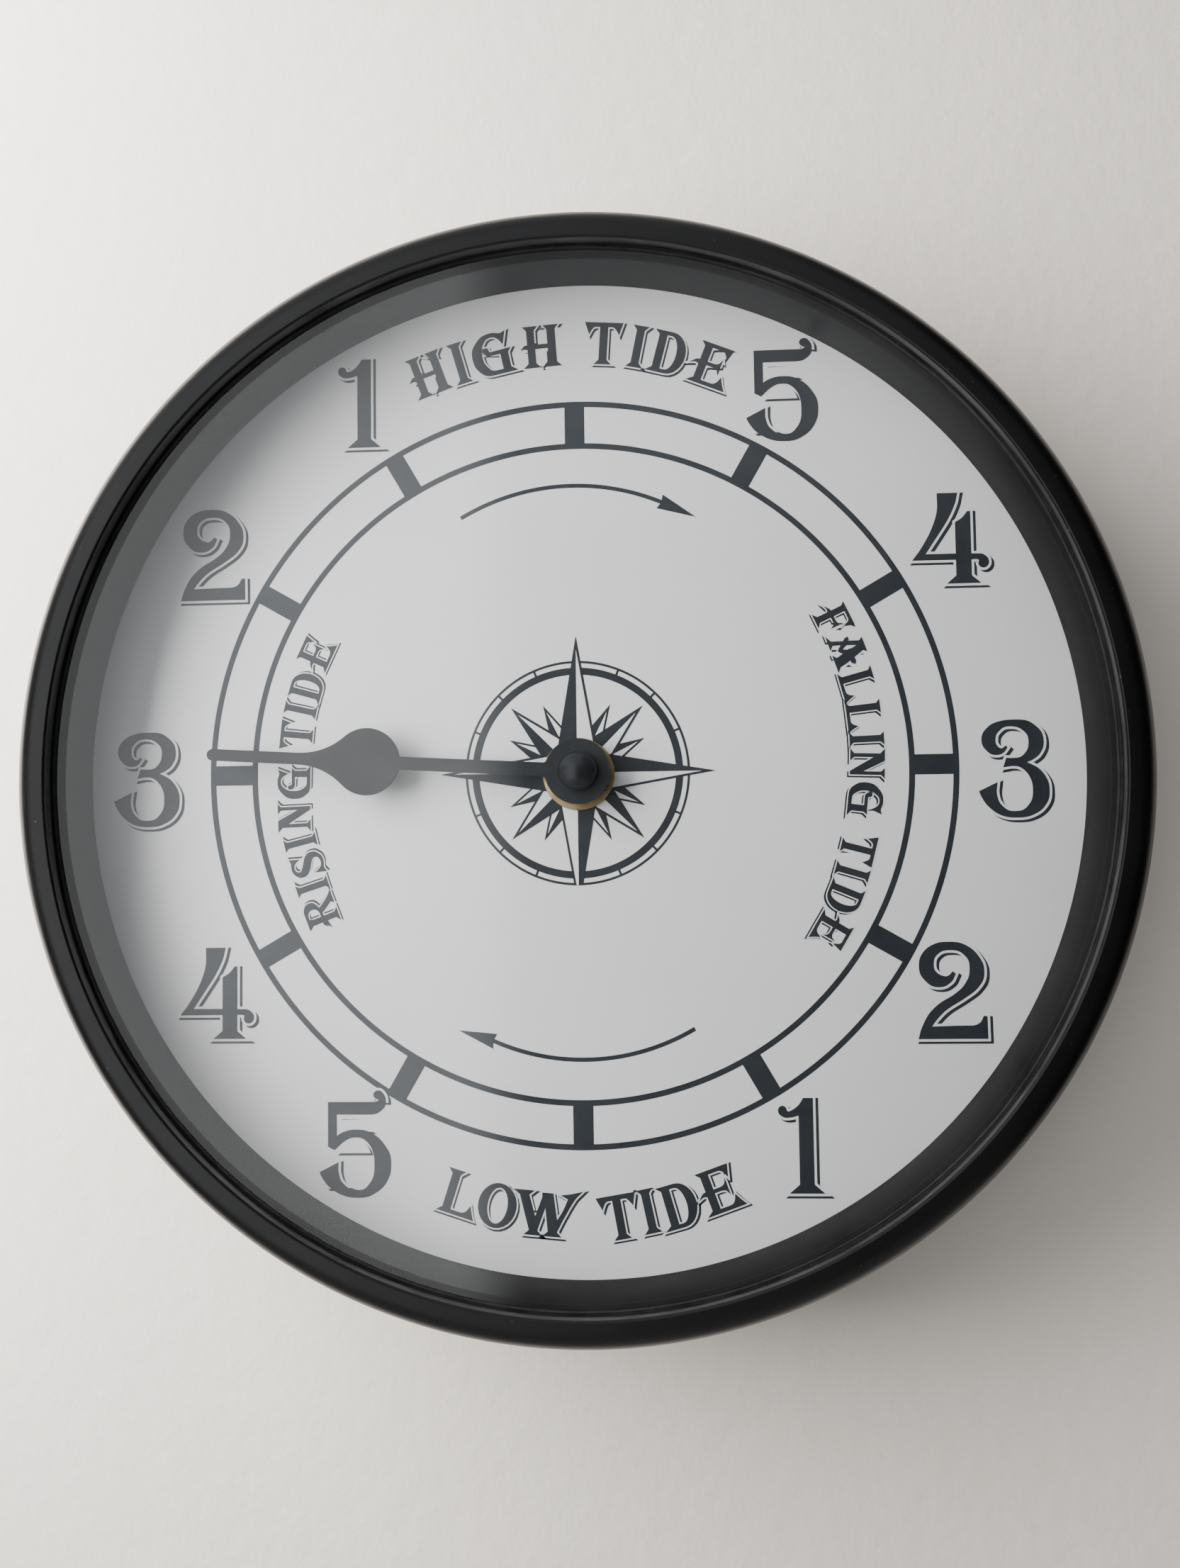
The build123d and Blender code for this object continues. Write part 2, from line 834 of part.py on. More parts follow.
def setting_knob():
    """Fluted thumb wheel pressed on the motion arbor, with a slot across its face."""
    rim = toothed_face(
        knob_flutes, knob_radius - knob_flute_depth, knob_radius, wheel_root_share, pinion_root_share, 0
    )
    knob = Pos(0, 0, knob_back) * extrude(rim, knob_thickness)
    knob -= slab(
        -knob_radius / 2,
        knob_radius / 2,
        -knob_slot_width / 2,
        knob_slot_width / 2,
        knob_back - cut_overrun,
        knob_back + knob_slot_depth,
    )
    seat_low = knob_back + knob_slot_depth
    knob -= disc(motion_arbor_radius, seat_low, knob_back + knob_thickness + cut_overrun)
    return Pos(motion_axis[0], motion_axis[1], 0) * knob


# Stepping motor and circuit


def stator():
    """Plate with an eye round the rotor and two arms to the ends of the coil core."""
    low, high = stator_ends()
    x = rotor_axis[0]
    arm_end = core_x + core_width / 2
    leg = slab(x - stator_leg_width / 2, x + stator_leg_width / 2, low, high + stator_arm_width, stator_low, stator_high)
    plate = leg + disc(magnet_radius + stator_air_gap + stator_eye_wall, stator_low, stator_high, rotor_axis)
    for start in (low, high):
        plate += slab(x, arm_end, start, start + stator_arm_width, stator_low, stator_high)
    return plate - disc(
        magnet_radius + stator_air_gap, stator_low - cut_overrun, stator_high + cut_overrun, rotor_axis
    )


def coil_core():
    low, high = stator_ends()
    half = core_width / 2
    return slab(core_x - half, core_x + half, low, high + stator_arm_width, stator_low - core_thickness, stator_low)


def along_core(radius, start, end):
    """Cylinder lying along the coil core."""
    centre = stator_low - core_thickness / 2
    return Pos(core_x, start, centre) * (Rot(-90, 0, 0) * extrude(Circle(radius), end - start))


def bobbin_span():
    low, high = stator_ends()
    return low + stator_arm_width + bobbin_gap, high - bobbin_gap


def coil_bobbin():
    low, high = bobbin_span()
    tube = core_width * 3 / 4
    body = along_core(tube, low, high)
    body += along_core(bobbin_flange_radius, low, low + bobbin_flange)
    body += along_core(bobbin_flange_radius, high - bobbin_flange, high)
    half = core_width / 2
    return body - slab(
        core_x - half, core_x + half, low - cut_overrun, high + cut_overrun, stator_low - core_thickness, stator_low
    )


def coil_winding():
    low, high = bobbin_span()
    start, end = low + bobbin_flange, high - bobbin_flange
    return along_core(winding_radius, start, end) - along_core(core_width * 3 / 4, start, end)


def circuit_board():
    return slab(
        -inside_half + board_edge_gap,
        -board_inner_x,
        divider_high + board_edge_gap,
        inside_half - board_edge_gap,
        board_low,
        board_high,
    )


def quartz_crystal():
    x, y = board_posts()[1]
    lying = Rot(-90, 0, 0) * extrude(Circle(crystal_radius), crystal_length)
    return Pos(x, y - crystal_length, board_low - crystal_radius) * lying


def clock_chip():
    """Low dome of resin over the chip."""
    x, y = board_posts()[0]
    blob = Rot(180, 0, 0) * dome(chip_radius, chip_height, 0)
    return Pos(x, y + 2 * chip_radius, board_low) * blob


# Cell and contacts

cell_axis_y = (bay_low + bay_high) / 2
cell_axis_z = floor_face - cell_floor_gap - cell_radius
button_end = -inside_half + contact_sheet + contact_gap
cell_start = button_end + cell_button_length
cell_end = cell_start + cell_length


def battery_cell():
    """AA cell lying along x, with its raised button to the left."""
    lines = outline(
        [
            (0, button_end),
            (cell_button_radius, button_end),
            (cell_button_radius, cell_start),
            (cell_radius - cell_crimp, cell_start),
            (cell_radius, cell_start + cell_crimp),
            (cell_radius, cell_end - cell_crimp),
            (cell_radius - cell_crimp, cell_end),
            (0, cell_end),
        ]
    )
    return Pos(0, cell_axis_y, cell_axis_z) * (Rot(0, 90, 0) * turned(lines))


def tail_strip(x_low, x_high, y_high):
    """Strip that carries a contact through the divider to the board."""
    low = board_low - contact_tail
    return slab(x_low, x_high, cell_axis_y, y_high, low, board_low - contact_gap)


def positive_contact():
    """Sheet at the button end of the cell, with a tail to the board."""
    half = contact_width / 2
    x_low = -inside_half
    x_high = x_low + contact_sheet
    plate = slab(x_low, x_high, cell_axis_y - half, cell_axis_y + half, cell_axis_z - half, cell_axis_z + half)
    plate += tail_strip(x_low, x_high, divider_high + 2 * contact_tail)
    foot = slab(
        x_low,
        x_low + contact_tail,
        divider_high + contact_tail,
        divider_high + 2 * contact_tail,
        board_low - contact_gap - contact_sheet,
        board_low - contact_gap,
    )
    return plate + foot


def negative_contact():
    """Sheet with a bowed spring leaf against the cell, and a strip along the divider to the board."""
    half = contact_width / 2
    x_high = inside_half
    x_low = x_high - contact_sheet
    y_low, y_high = cell_axis_y - half, cell_axis_y + half
    plate = slab(x_low, x_high, y_low, y_high, cell_axis_z - half, cell_axis_z + half)
    crest = cell_end + contact_gap
    leaf = make_face(
        Curve()
        + [
            ThreePointArc((x_high, y_low), (crest + contact_sheet, cell_axis_y), (x_high, y_high)),
            Line((x_high, y_high), (x_low, y_high)),
            ThreePointArc((x_low, y_high), (crest, cell_axis_y), (x_low, y_low)),
            Line((x_low, y_low), (x_high, y_low)),
        ]
    )
    plate += Pos(0, 0, cell_axis_z - half / 2) * extrude(leaf, half)
    strip_high = divider_high + contact_sheet
    plate += tail_strip(x_low, x_high, strip_high)
    plate += slab(
        -board_inner_x - contact_tail,
        x_high,
        divider_high,
        strip_high,
        board_low - contact_tail,
        board_low - contact_gap,
    )
    return plate


# Hand and cap


def tide_hand():
    """Blade with a round hub, a straight arm, a disc that draws in to a neck, and a pointer."""
    taper = (
        (hand_neck - hand_disc_centre) ** 2 - hand_disc_radius**2 + hand_pointer_half**2
    ) / (2 * (hand_disc_radius - hand_pointer_half))
    lift = hand_pointer_half + taper
    swing = math.degrees(math.atan2(lift, hand_neck - hand_disc_centre))
    touch = step_from((hand_disc_centre, 0), hand_disc_radius, swing)
    bend_angle = (swing + 180 + 270) / 2
    bend = step_from((hand_neck, lift), taper, bend_angle)
    pointer_end = hand_length - hand_pointer_half
    flank = Line(touch, (touch[0], 0))
    half = make_face(
        Curve()
        + [
            flank,
            Line((touch[0], 0), (hand_length, 0)),
            CenterArc((pointer_end, 0), hand_pointer_half, 0, 90),
            Line((pointer_end, hand_pointer_half), (hand_neck, hand_pointer_half)),
            ThreePointArc((hand_neck, hand_pointer_half), bend, touch),
        ]
    )
    arm = make_face(
        Polyline(
            (0, -hand_arm_hub_half),
            (hand_disc_centre, -hand_arm_disc_half),
            (hand_disc_centre, hand_arm_disc_half),
            (0, hand_arm_hub_half),
            close=True,
        )
    )
    flat = Circle(hand_hub_radius) + arm + Pos(hand_disc_centre, 0) * Circle(hand_disc_radius)
    flat = flat + half + mirror(half, Plane.XZ)
    corners = [v for v in flat.vertices() if collet_radius < v.X < hand_disc_centre - hand_arm_disc_half]
    flat = fillet(corners, hand_corner)
    blade = Pos(0, 0, hand_back) * extrude(flat, hand_sheet)
    blade += disc(collet_radius, hand_back - collet_length, hand_back)
    blade -= disc(tide_shaft_radius, hand_back - collet_length - cut_overrun, hand_front + cut_overrun)
    return Rot(0, 0, hand_angle) * blade


def hand_cap():
    """Domed button over the hub, with a plug that fits the end of the shaft."""
    shaft_end = bushing_front + tide_shaft_rise
    edge_top = hand_front + cap_edge
    cap = disc(cap_radius, hand_front, edge_top) + dome(cap_radius, cap_dome, edge_top)
    cap -= disc(tide_shaft_radius, hand_front - cut_overrun, shaft_end)
    return cap + disc(cap_plug_radius, shaft_end - cap_plug_length, shaft_end)


pieces = {
    "case_frame": case_frame,
    "spacer_ring": spacer_ring,
    "glass_lens": lens,
    "lens_glue": lens_glue,
    "dial_card": dial_card,
    "back_plate": back_plate,
    "plate_screws": plate_screws,
    "rubber_washer": rubber_washer,
    "brass_washer": brass_washer,
    "hex_nut": hex_nut,
    "threaded_bushing": threaded_bushing,
    "hanger_bracket": hanger_bracket,
    "hanger_tab": hanger_tab,
    "movement_housing": movement_housing,
    "movement_rear_cover": rear_cover,
    "circuit_board": circuit_board,
    "quartz_crystal": quartz_crystal,
    "clock_chip": clock_chip,
    "stator": stator,
    "coil_core": coil_core,
    "coil_bobbin": coil_bobbin,
    "coil_winding": coil_winding,
    "battery_cell": battery_cell,
    "positive_contact": positive_contact,
    "negative_contact": negative_contact,
    "rotor_magnet": rotor_magnet,
    "rotor_pinion": rotor_pinion,
    "intermediate_wheel": intermediate_wheel,
    "seconds_wheel": seconds_wheel,
    "third_wheel": third_wheel,
    "centre_wheel": centre_wheel,
    "centre_pinion": centre_pinion,
    "motion_wheel": motion_wheel,
    "setting_knob": setting_knob,
    "tide_wheel": tide_wheel,
    "tide_hand": tide_hand,
    "hand_cap": hand_cap,
}

for name, make in pieces.items():
    export_step(Rot(90, 0, 0) * make(), "parts/" + name + ".step")
print("third", third_axis, "seconds", seconds_axis)
print("intermediate", intermediate_axis, "rotor", rotor_axis)
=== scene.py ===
import math

import bmesh
import bpy
from mathutils import Matrix, Vector


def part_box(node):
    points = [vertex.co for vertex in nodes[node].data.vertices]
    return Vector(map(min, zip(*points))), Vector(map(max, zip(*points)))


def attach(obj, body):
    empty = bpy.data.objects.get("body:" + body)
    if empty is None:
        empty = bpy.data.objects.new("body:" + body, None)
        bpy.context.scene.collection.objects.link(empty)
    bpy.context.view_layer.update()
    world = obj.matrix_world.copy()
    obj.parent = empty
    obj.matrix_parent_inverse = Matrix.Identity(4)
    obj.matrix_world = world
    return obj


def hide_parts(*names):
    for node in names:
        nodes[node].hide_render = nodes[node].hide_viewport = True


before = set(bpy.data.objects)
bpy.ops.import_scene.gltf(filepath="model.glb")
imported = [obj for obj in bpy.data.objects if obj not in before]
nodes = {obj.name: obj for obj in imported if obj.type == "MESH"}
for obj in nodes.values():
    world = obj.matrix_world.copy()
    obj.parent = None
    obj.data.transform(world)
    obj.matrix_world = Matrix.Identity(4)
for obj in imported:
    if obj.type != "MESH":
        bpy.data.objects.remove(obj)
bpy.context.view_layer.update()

mm = 0.001
# lengths below are millimetres seen from the front: x right, y up, z out from the wall
toFrame = Matrix.Rotation(math.radians(90), 4, "X") @ Matrix.Scale(mm, 4)
print("frame loaded:", len(nodes), "nodes")


# camera, at the photo's viewing angle
cameraSetup = {
    "place": (17.40, -17.40, 301.73), "turn": (92.9787, 0.7682, 3.0643), "lens": 27.667, "clipStart": 0.01,
}
cameraData = bpy.data.cameras.new("camera")
cameraData.lens = cameraSetup["lens"]
cameraData.clip_start = cameraSetup["clipStart"]
camera = bpy.data.objects.new("camera", cameraData)
camera.location = toFrame @ Vector(cameraSetup["place"])
camera.rotation_euler = [math.radians(turn) for turn in cameraSetup["turn"]]
bpy.context.scene.collection.objects.link(camera)
bpy.context.scene.camera = camera


# finishes
def newMaterial(name):
    material = bpy.data.materials.new(name)
    material.use_nodes = True
    material.node_tree.nodes.clear()
    return material, material.node_tree


def addNode(tree, kind, settings=None, inputs=None, links=None):
    # settings: node attributes, inputs: fixed socket values, links: sockets fed by other nodes
    node = tree.nodes.new("ShaderNode" + kind)
    for key, value in (settings or {}).items():
        setattr(node, key, value)
    for key, value in (inputs or {}).items():
        node.inputs[key].default_value = value
    for key, value in (links or {}).items():
        tree.links.new(value, node.inputs[key])
    return node


def grainCoordinates(tree, stretch=(1, 1, 1)):
    spot = addNode(tree, "TexCoord").outputs["Object"]
    if stretch == (1, 1, 1):
        return spot
    return addNode(tree, "Mapping", inputs={"Scale": stretch}, links={"Vector": spot}).outputs["Vector"]


def noise(tree, spot, scale, detail=3.0, rough=0.55):
    fixed = {"Scale": scale, "Detail": detail, "Roughness": rough}
    return addNode(tree, "TexNoise", inputs=fixed, links={"Vector": spot}).outputs["Fac"]


def spread(tree, value, low, high, start=0.3, end=0.7, curve="LINEAR"):
    # low where the value is at start, high where it is at end
    return addNode(
        tree, "MapRange", {"interpolation_type": curve},
        {"From Min": start, "From Max": end, "To Min": low, "To Max": high}, {"Value": value},
    ).outputs["Result"]


def mottled(tree, value, dark, light):
    node = addNode(tree, "ValToRGB", links={"Fac": value})
    for element, position, colour in zip(node.color_ramp.elements, (0.3, 0.7), (dark, light)):
        element.position = position
        element.color = (*colour, 1)
    return node.outputs["Color"]


def mathNode(tree, operation, first, second):
    # first comes from a node, second from a node or as a number
    fixed = isinstance(second, float)
    return addNode(
        tree, "Math", {"operation": operation}, {1: second} if fixed else {},
        {0: first} if fixed else {0: first, 1: second},
    ).outputs[0]


def blendColour(tree, amount, first, second):
    # first and second are fixed colours or other nodes' colours
    inputs, links = {}, {0: amount}
    for socket, colour in ((6, first), (7, second)):
        if isinstance(colour, tuple):
            inputs[socket] = (*colour, 1)
        else:
            links[socket] = colour
    return addNode(tree, "Mix", {"data_type": "RGBA"}, inputs, links).outputs[2]


def relief(tree, height, strength, depth):
    return addNode(
        tree, "Bump", inputs={"Strength": strength, "Distance": depth}, links={"Height": height}
    ).outputs["Normal"]


def finish(name, look):
    # plastic, metal, rubber or paper: mottled colour, uneven gloss and a fine grain in the bump
    material, tree = newMaterial(name)
    spot = grainCoordinates(tree, look.get("stretch", (1, 1, 1)))
    colour = mottled(tree, noise(tree, spot, look.get("mottleScale", 40)), look["dark"], look["light"])
    gloss = spread(tree, noise(tree, spot, look.get("glossScale", 90)), *look["rough"])
    if "specks" in look:
        # sparse pale dust, each speck a cell's middle
        specks = look["specks"]
        cells = addNode(tree, "TexVoronoi", inputs={"Scale": specks["scale"]}, links={"Vector": spot})
        draw = addNode(tree, "SeparateColor", links={"Color": cells.outputs["Color"]}).outputs[0]
        reach = mathNode(tree, "MULTIPLY", draw, specks["size"])
        near = mathNode(tree, "LESS_THAN", cells.outputs["Distance"], reach)
        amount = mathNode(tree, "MULTIPLY", near, specks["strength"])
        colour = blendColour(tree, amount, colour, specks["colour"])
    if "corner" in look:
        # painted shade: the colour darkens in the corner where it meets the dial
        height = addNode(tree, "SeparateXYZ", links={"Vector": spot}).outputs["Y"]
        amount = spread(tree, height, 0.0, 1.0, *look["corner"])
        colour = blendColour(tree, amount, colour, look["cornerTone"])
    grain = noise(tree, spot, look["grainScale"], 2.0)
    fixed = {"Metallic": look.get("metal", 0.0), "Specular IOR Level": look.get("specular", 0.5)}
    if "coat" in look:
        fixed["Coat Weight"], fixed["Coat Roughness"] = look["coat"]
    shader = addNode(tree, "BsdfPrincipled", inputs=fixed, links={
        "Base Color": colour, "Roughness": gloss,
        "Normal": relief(tree, grain, look["grain"], look.get("grainDepth", 0.00005)),
    })
    addNode(tree, "OutputMaterial", links={"Surface": shader.outputs[0]})
    return material


looks = {
    "caseSatin": {
        "dark": (0.0016, 0.0016, 0.0018), "light": (0.0024, 0.0024, 0.0027), "mottleScale": 30,
        "rough": (0.30, 0.38), "glossScale": 60, "grainScale": 3200, "grain": 0.03, "specular": 0.50,
        "specks": {"scale": 420, "size": 0.07, "strength": 0.35, "colour": (0.16, 0.155, 0.15)},
    },
    "ringGloss": {
        "dark": (0.0030, 0.0029, 0.0030), "light": (0.0042, 0.0040, 0.0041), "rough": (0.36, 0.46),
        "mottleScale": 45, "glossScale": 45, "grainScale": 500, "grain": 0.003, "specular": 0.06,
        # painted shade at the ring's foot: darker towards the dial between these two heights
        "corner": (-0.0250, -0.0212), "cornerTone": (0.0008, 0.0008, 0.0009),
    },
    "cardPaper": {
        "dark": (0.628, 0.622, 0.638), "light": (0.660, 0.655, 0.670), "mottleScale": 26,
        "rough": (0.42, 0.52), "grainScale": 2600, "grain": 0.05, "specular": 0.35,
        "specks": {"scale": 95, "size": 0.022, "strength": 0.45, "colour": (0.42, 0.40, 0.38)},
    },
    "printInk": {
        "dark": (0.0145, 0.0172, 0.0215), "light": (0.0215, 0.0250, 0.0305), "mottleScale": 160,
        "rough": (0.34, 0.46), "grainScale": 2600, "grain": 0.05,
    },
    "plateMatt": {
        "dark": (0.0145, 0.0145, 0.0155), "light": (0.0180, 0.0180, 0.0190), "mottleScale": 90,
        "rough": (0.44, 0.54), "grainScale": 2400, "grain": 0.3,
    },
    "movementSpark": {
        "dark": (0.009, 0.009, 0.010), "light": (0.017, 0.017, 0.018), "rough": (0.36, 0.5),
        "grainScale": 1900, "grain": 0.55, "grainDepth": 0.00008,
    },
    "zincScrew": {
        "dark": (0.50, 0.50, 0.49), "light": (0.66, 0.66, 0.64), "metal": 1.0, "rough": (0.24, 0.38),
        "mottleScale": 400, "grainScale": 2500, "grain": 0.12,
    },
    "rubberBlack": {
        "dark": (0.010, 0.010, 0.010), "light": (0.018, 0.018, 0.018), "rough": (0.7, 0.85),
        "grainScale": 1500, "grain": 0.4,
    },
    "agedBrass": {
        "dark": (0.46, 0.33, 0.16), "light": (0.72, 0.56, 0.30), "metal": 1.0, "rough": (0.24, 0.40),
        "mottleScale": 260, "glossScale": 300, "grainScale": 2200, "grain": 0.14,
    },
    "zincSheet": {
        "dark": (0.52, 0.53, 0.54), "light": (0.68, 0.69, 0.70), "metal": 1.0, "rough": (0.26, 0.42),
        "mottleScale": 120, "stretch": (9, 1, 1), "grainScale": 260, "grain": 0.03,
    },
    "phenolicBoard": {
        "dark": (0.20, 0.115, 0.035), "light": (0.34, 0.21, 0.075), "rough": (0.35, 0.5),
        "mottleScale": 700, "grainScale": 1600, "grain": 0.2,
    },
    "drawnCan": {
        "dark": (0.60, 0.60, 0.60), "light": (0.74, 0.74, 0.74), "metal": 1.0, "rough": (0.16, 0.28),
        "stretch": (6, 6, 1), "grainScale": 1400, "grain": 0.1,
    },
    "chipResin": {
        "dark": (0.008, 0.008, 0.008), "light": (0.016, 0.016, 0.016), "rough": (0.12, 0.22),
        "grainScale": 700, "grain": 0.08,
    },
    "softIron": {
        "dark": (0.38, 0.37, 0.36), "light": (0.54, 0.53, 0.51), "metal": 1.0, "rough": (0.34, 0.5),
        "grainScale": 1700, "grain": 0.2,
    },
    "bobbinNylon": {
        "dark": (0.66, 0.64, 0.56), "light": (0.76, 0.74, 0.66), "rough": (0.4, 0.5),
        "grainScale": 1200, "grain": 0.1,
    },
    "copperWire": {
        "dark": (0.45, 0.14, 0.05), "light": (0.68, 0.26, 0.11), "metal": 1.0, "rough": (0.2, 0.34),
        "mottleScale": 900, "grainScale": 2000, "grain": 0.1,
    },
    "nickelStrip": {
        "dark": (0.60, 0.59, 0.57), "light": (0.74, 0.73, 0.71), "metal": 1.0, "rough": (0.18, 0.3),
        "mottleScale": 200, "grainScale": 2200, "grain": 0.1,
    },
    "bondedMagnet": {
        "dark": (0.035, 0.035, 0.037), "light": (0.07, 0.07, 0.075), "rough": (0.45, 0.6),
        "mottleScale": 1500, "grainScale": 2400, "grain": 0.4,
    },
    "whiteAcetal": {
        "dark": (0.74, 0.73, 0.69), "light": (0.83, 0.82, 0.78), "rough": (0.3, 0.42),
        "grainScale": 1500, "grain": 0.08,
    },
    "knobPlastic": {
        "dark": (0.014, 0.014, 0.015), "light": (0.026, 0.026, 0.028), "rough": (0.36, 0.5),
        "grainScale": 2200, "grain": 0.35,
    },
    "handLacquer": {
        "dark": (0.0105, 0.0115, 0.0135), "light": (0.0165, 0.0180, 0.0205), "mottleScale": 120,
        "rough": (0.34, 0.46), "glossScale": 140, "grainScale": 2600, "grain": 0.14,
    },
    "capSatin": {
        "dark": (0.0095, 0.0105, 0.0125), "light": (0.0145, 0.0155, 0.0180), "rough": (0.20, 0.28),
        "glossScale": 200, "grainScale": 1800, "grain": 0.03,
    },
    "clearGlue": {
        "dark": (0.003, 0.003, 0.003), "light": (0.008, 0.008, 0.008), "rough": (0.4, 0.55),
        "mottleScale": 220, "grainScale": 500, "grain": 0.2, "specular": 0.12,
    },
    "cellSteel": {
        "dark": (0.62, 0.61, 0.60), "light": (0.76, 0.75, 0.74), "metal": 1.0, "rough": (0.2, 0.32),
        "grainScale": 1800, "grain": 0.1,
    },
    "cellJacketDark": {
        "dark": (0.016, 0.034, 0.060), "light": (0.024, 0.046, 0.078), "rough": (0.16, 0.26),
        "mottleScale": 150, "grainScale": 1000, "grain": 0.05, "coat": (0.4, 0.08),
    },
    "cellJacketBand": {
        "dark": (0.52, 0.53, 0.54), "light": (0.62, 0.63, 0.64), "rough": (0.18, 0.28), "metal": 0.5,
        "mottleScale": 150, "grainScale": 1000, "grain": 0.05, "coat": (0.4, 0.08),
    },
    "paleFloor": {
        "dark": (0.70, 0.69, 0.67), "light": (0.75, 0.74, 0.72), "mottleScale": 4, "rough": (0.6, 0.75),
        "grainScale": 300, "grain": 0.1,
    },
}
materials = {name: finish(name, look) for name, look in looks.items()}
lensLook = {"clear": (0.985, 0.99, 0.988, 1), "bend": 1.49, "haze": (0.015, 0.05), "hazeScale": 14}
plasterLook = {
    "dark": (0.766, 0.712, 0.650), "light": (0.826, 0.772, 0.708), "mottleScale": 6, "rough": 0.8,
    "specular": 0.25, "relief": 0.42, "reliefDepth": 0.0008, "reliefScale": 130,
}


def mixedFinish(tree, amount, first, second):
    mix = addNode(tree, "MixShader", links={0: amount, 1: first.outputs[0], 2: second.outputs[0]})
    addNode(tree, "OutputMaterial", links={"Surface": mix.outputs[0]})


def lensMaterial():
    # clear sheet that doesn't bend what shows through, so both faces mirror alike at the same slant
    material, tree = newMaterial("lensClear")
    haze = spread(tree, noise(tree, grainCoordinates(tree), lensLook["hazeScale"], 4.0), *lensLook["haze"])
    clear = addNode(tree, "BsdfTransparent", inputs={"Color": lensLook["clear"]})
    mirror = addNode(tree, "BsdfGlossy", inputs={"Color": (1, 1, 1, 1)}, links={"Roughness": haze})
    behind = addNode(tree, "NewGeometry").outputs["Backfacing"]
    bend = spread(tree, behind, lensLook["bend"], 1 / lensLook["bend"], 0.0, 1.0)
    mixedFinish(tree, addNode(tree, "Fresnel", links={"IOR": bend}).outputs[0], clear, mirror)
    return material


def plasterMaterial():
    # painted wall with a faint trowelled relief; its back lets light and other views through
    material, tree = newMaterial("wallPlaster")
    spot = grainCoordinates(tree)
    look = plasterLook
    tone = noise(tree, spot, look["mottleScale"], 5.0)
    trowel = noise(tree, spot, look["reliefScale"], 5.0, 0.62)
    fixed = {"Roughness": look["rough"], "Specular IOR Level": look["specular"]}
    paint = addNode(tree, "BsdfPrincipled", inputs=fixed, links={
        "Base Color": mottled(tree, tone, look["dark"], look["light"]),
        "Normal": relief(tree, trowel, look["relief"], look["reliefDepth"]),
    })
    behind = addNode(tree, "NewGeometry").outputs["Backfacing"]
    mixedFinish(tree, behind, paint, addNode(tree, "BsdfTransparent"))
    return material


materials["lensClear"] = lensMaterial()
materials["wallPlaster"] = plasterMaterial()
print("finishes made:", len(materials))


# making shapes
def shadeByAngle(mesh, angle=32):
    mesh.polygons.foreach_set("use_smooth", [True] * len(mesh.polygons))
    mesh.set_sharp_from_angle(angle=math.radians(angle))


def place(name, mesh, finishes, body, replaces=(), smooth=32):
    # puts a mesh drawn in millimetres into the frame and gives it its finish and body
    mesh.transform(toFrame)
    mesh.name = name
    for finishName in finishes:
        mesh.materials.append(materials[finishName])
    if smooth:
        shadeByAngle(mesh, smooth)
    piece = bpy.data.objects.new(name, mesh)
    bpy.context.scene.collection.objects.link(piece)
    if body is None:
        return
    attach(piece, body)
    if replaces:
        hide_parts(*replaces)


def rounded(corners, steps=6):
    # closed profile from (radius, height, rounding) corners, each corner turned into an arc
    points = []
    count = len(corners)
    for number, (r, z, size) in enumerate(corners):
        corner = Vector((r, z))
        if size == 0:
            points.append(corner)
            continue
        back = (Vector(corners[number - 1][:2]) - corner).normalized()
        ahead = (Vector(corners[(number + 1) % count][:2]) - corner).normalized()
        half = back.angle(ahead) / 2
        reach = size / math.tan(half)
        centre = corner + (back + ahead).normalized() * size / math.sin(half)
        start = corner + back * reach - centre
        sweep = start.angle_signed(corner + ahead * reach - centre)
        for step in range(steps + 1):
            points.append(centre + Matrix.Rotation(-sweep * step / steps, 2) @ start)
    return [(point[0], point[1]) for point in points]


def bandProfile(inner, outer, low, high, rounding, steps=3):
    # cross-section of a turned band, its corners rounded from the inner low one on;
    # inner is one radius, or the low and the high one where the bore is tapered
    innerLow, innerHigh = inner if isinstance(inner, tuple) else (inner, inner)
    spots = ((innerLow, low), (outer, low), (outer, high), (innerHigh, high))
    return rounded([(*spot, size) for spot, size in zip(spots, rounding)], steps)


def turnedMesh(profile, steps=256, axis=(0, 0)):
    # turns a closed profile of (radius, height) points about an axis that points out of the wall;
    # a profile that changes as it goes round is a function of the angle
    shape = bmesh.new()
    rings, points = [], profile
    for number in range(steps):
        angle = 2 * math.pi * number / steps
        if callable(profile):
            points = profile(angle)
        rings.append([
            shape.verts.new((axis[0] + r * math.cos(angle), axis[1] + r * math.sin(angle), z))
            for r, z in points
        ])
    for number, here in enumerate(rings):
        following = rings[(number + 1) % steps]
        for i in range(len(points)):
            j = (i + 1) % len(points)
            # nothing to fill between two points on the axis
            if max(points[i][0], points[j][0]) > 1e-6:
                shape.faces.new((here[i], following[i], following[j], here[j]))
    bmesh.ops.remove_doubles(shape, verts=shape.verts, dist=1e-5)
    bmesh.ops.recalc_face_normals(shape, faces=shape.faces)
    return meshFrom(shape)


def meshFrom(shape):
    mesh = bpy.data.meshes.new("shape")
    shape.to_mesh(mesh)
    shape.free()
    return mesh


def joined(parts):
    # one mesh from (mesh, material number, shift) parts
    whole = bmesh.new()
    for mesh, number, shift in parts:
        first = len(whole.faces)
        mesh.transform(Matrix.Translation(shift))
        whole.from_mesh(mesh)
        whole.faces.ensure_lookup_table()
        for face in whole.faces[first:]:
            face.material_index = number
    return meshFrom(whole)


# outlines are words of points: c corner, s smooth, h and v round tops and round sides
roundReach = 0.5523  # handle of a quarter circle, as a share of its radius


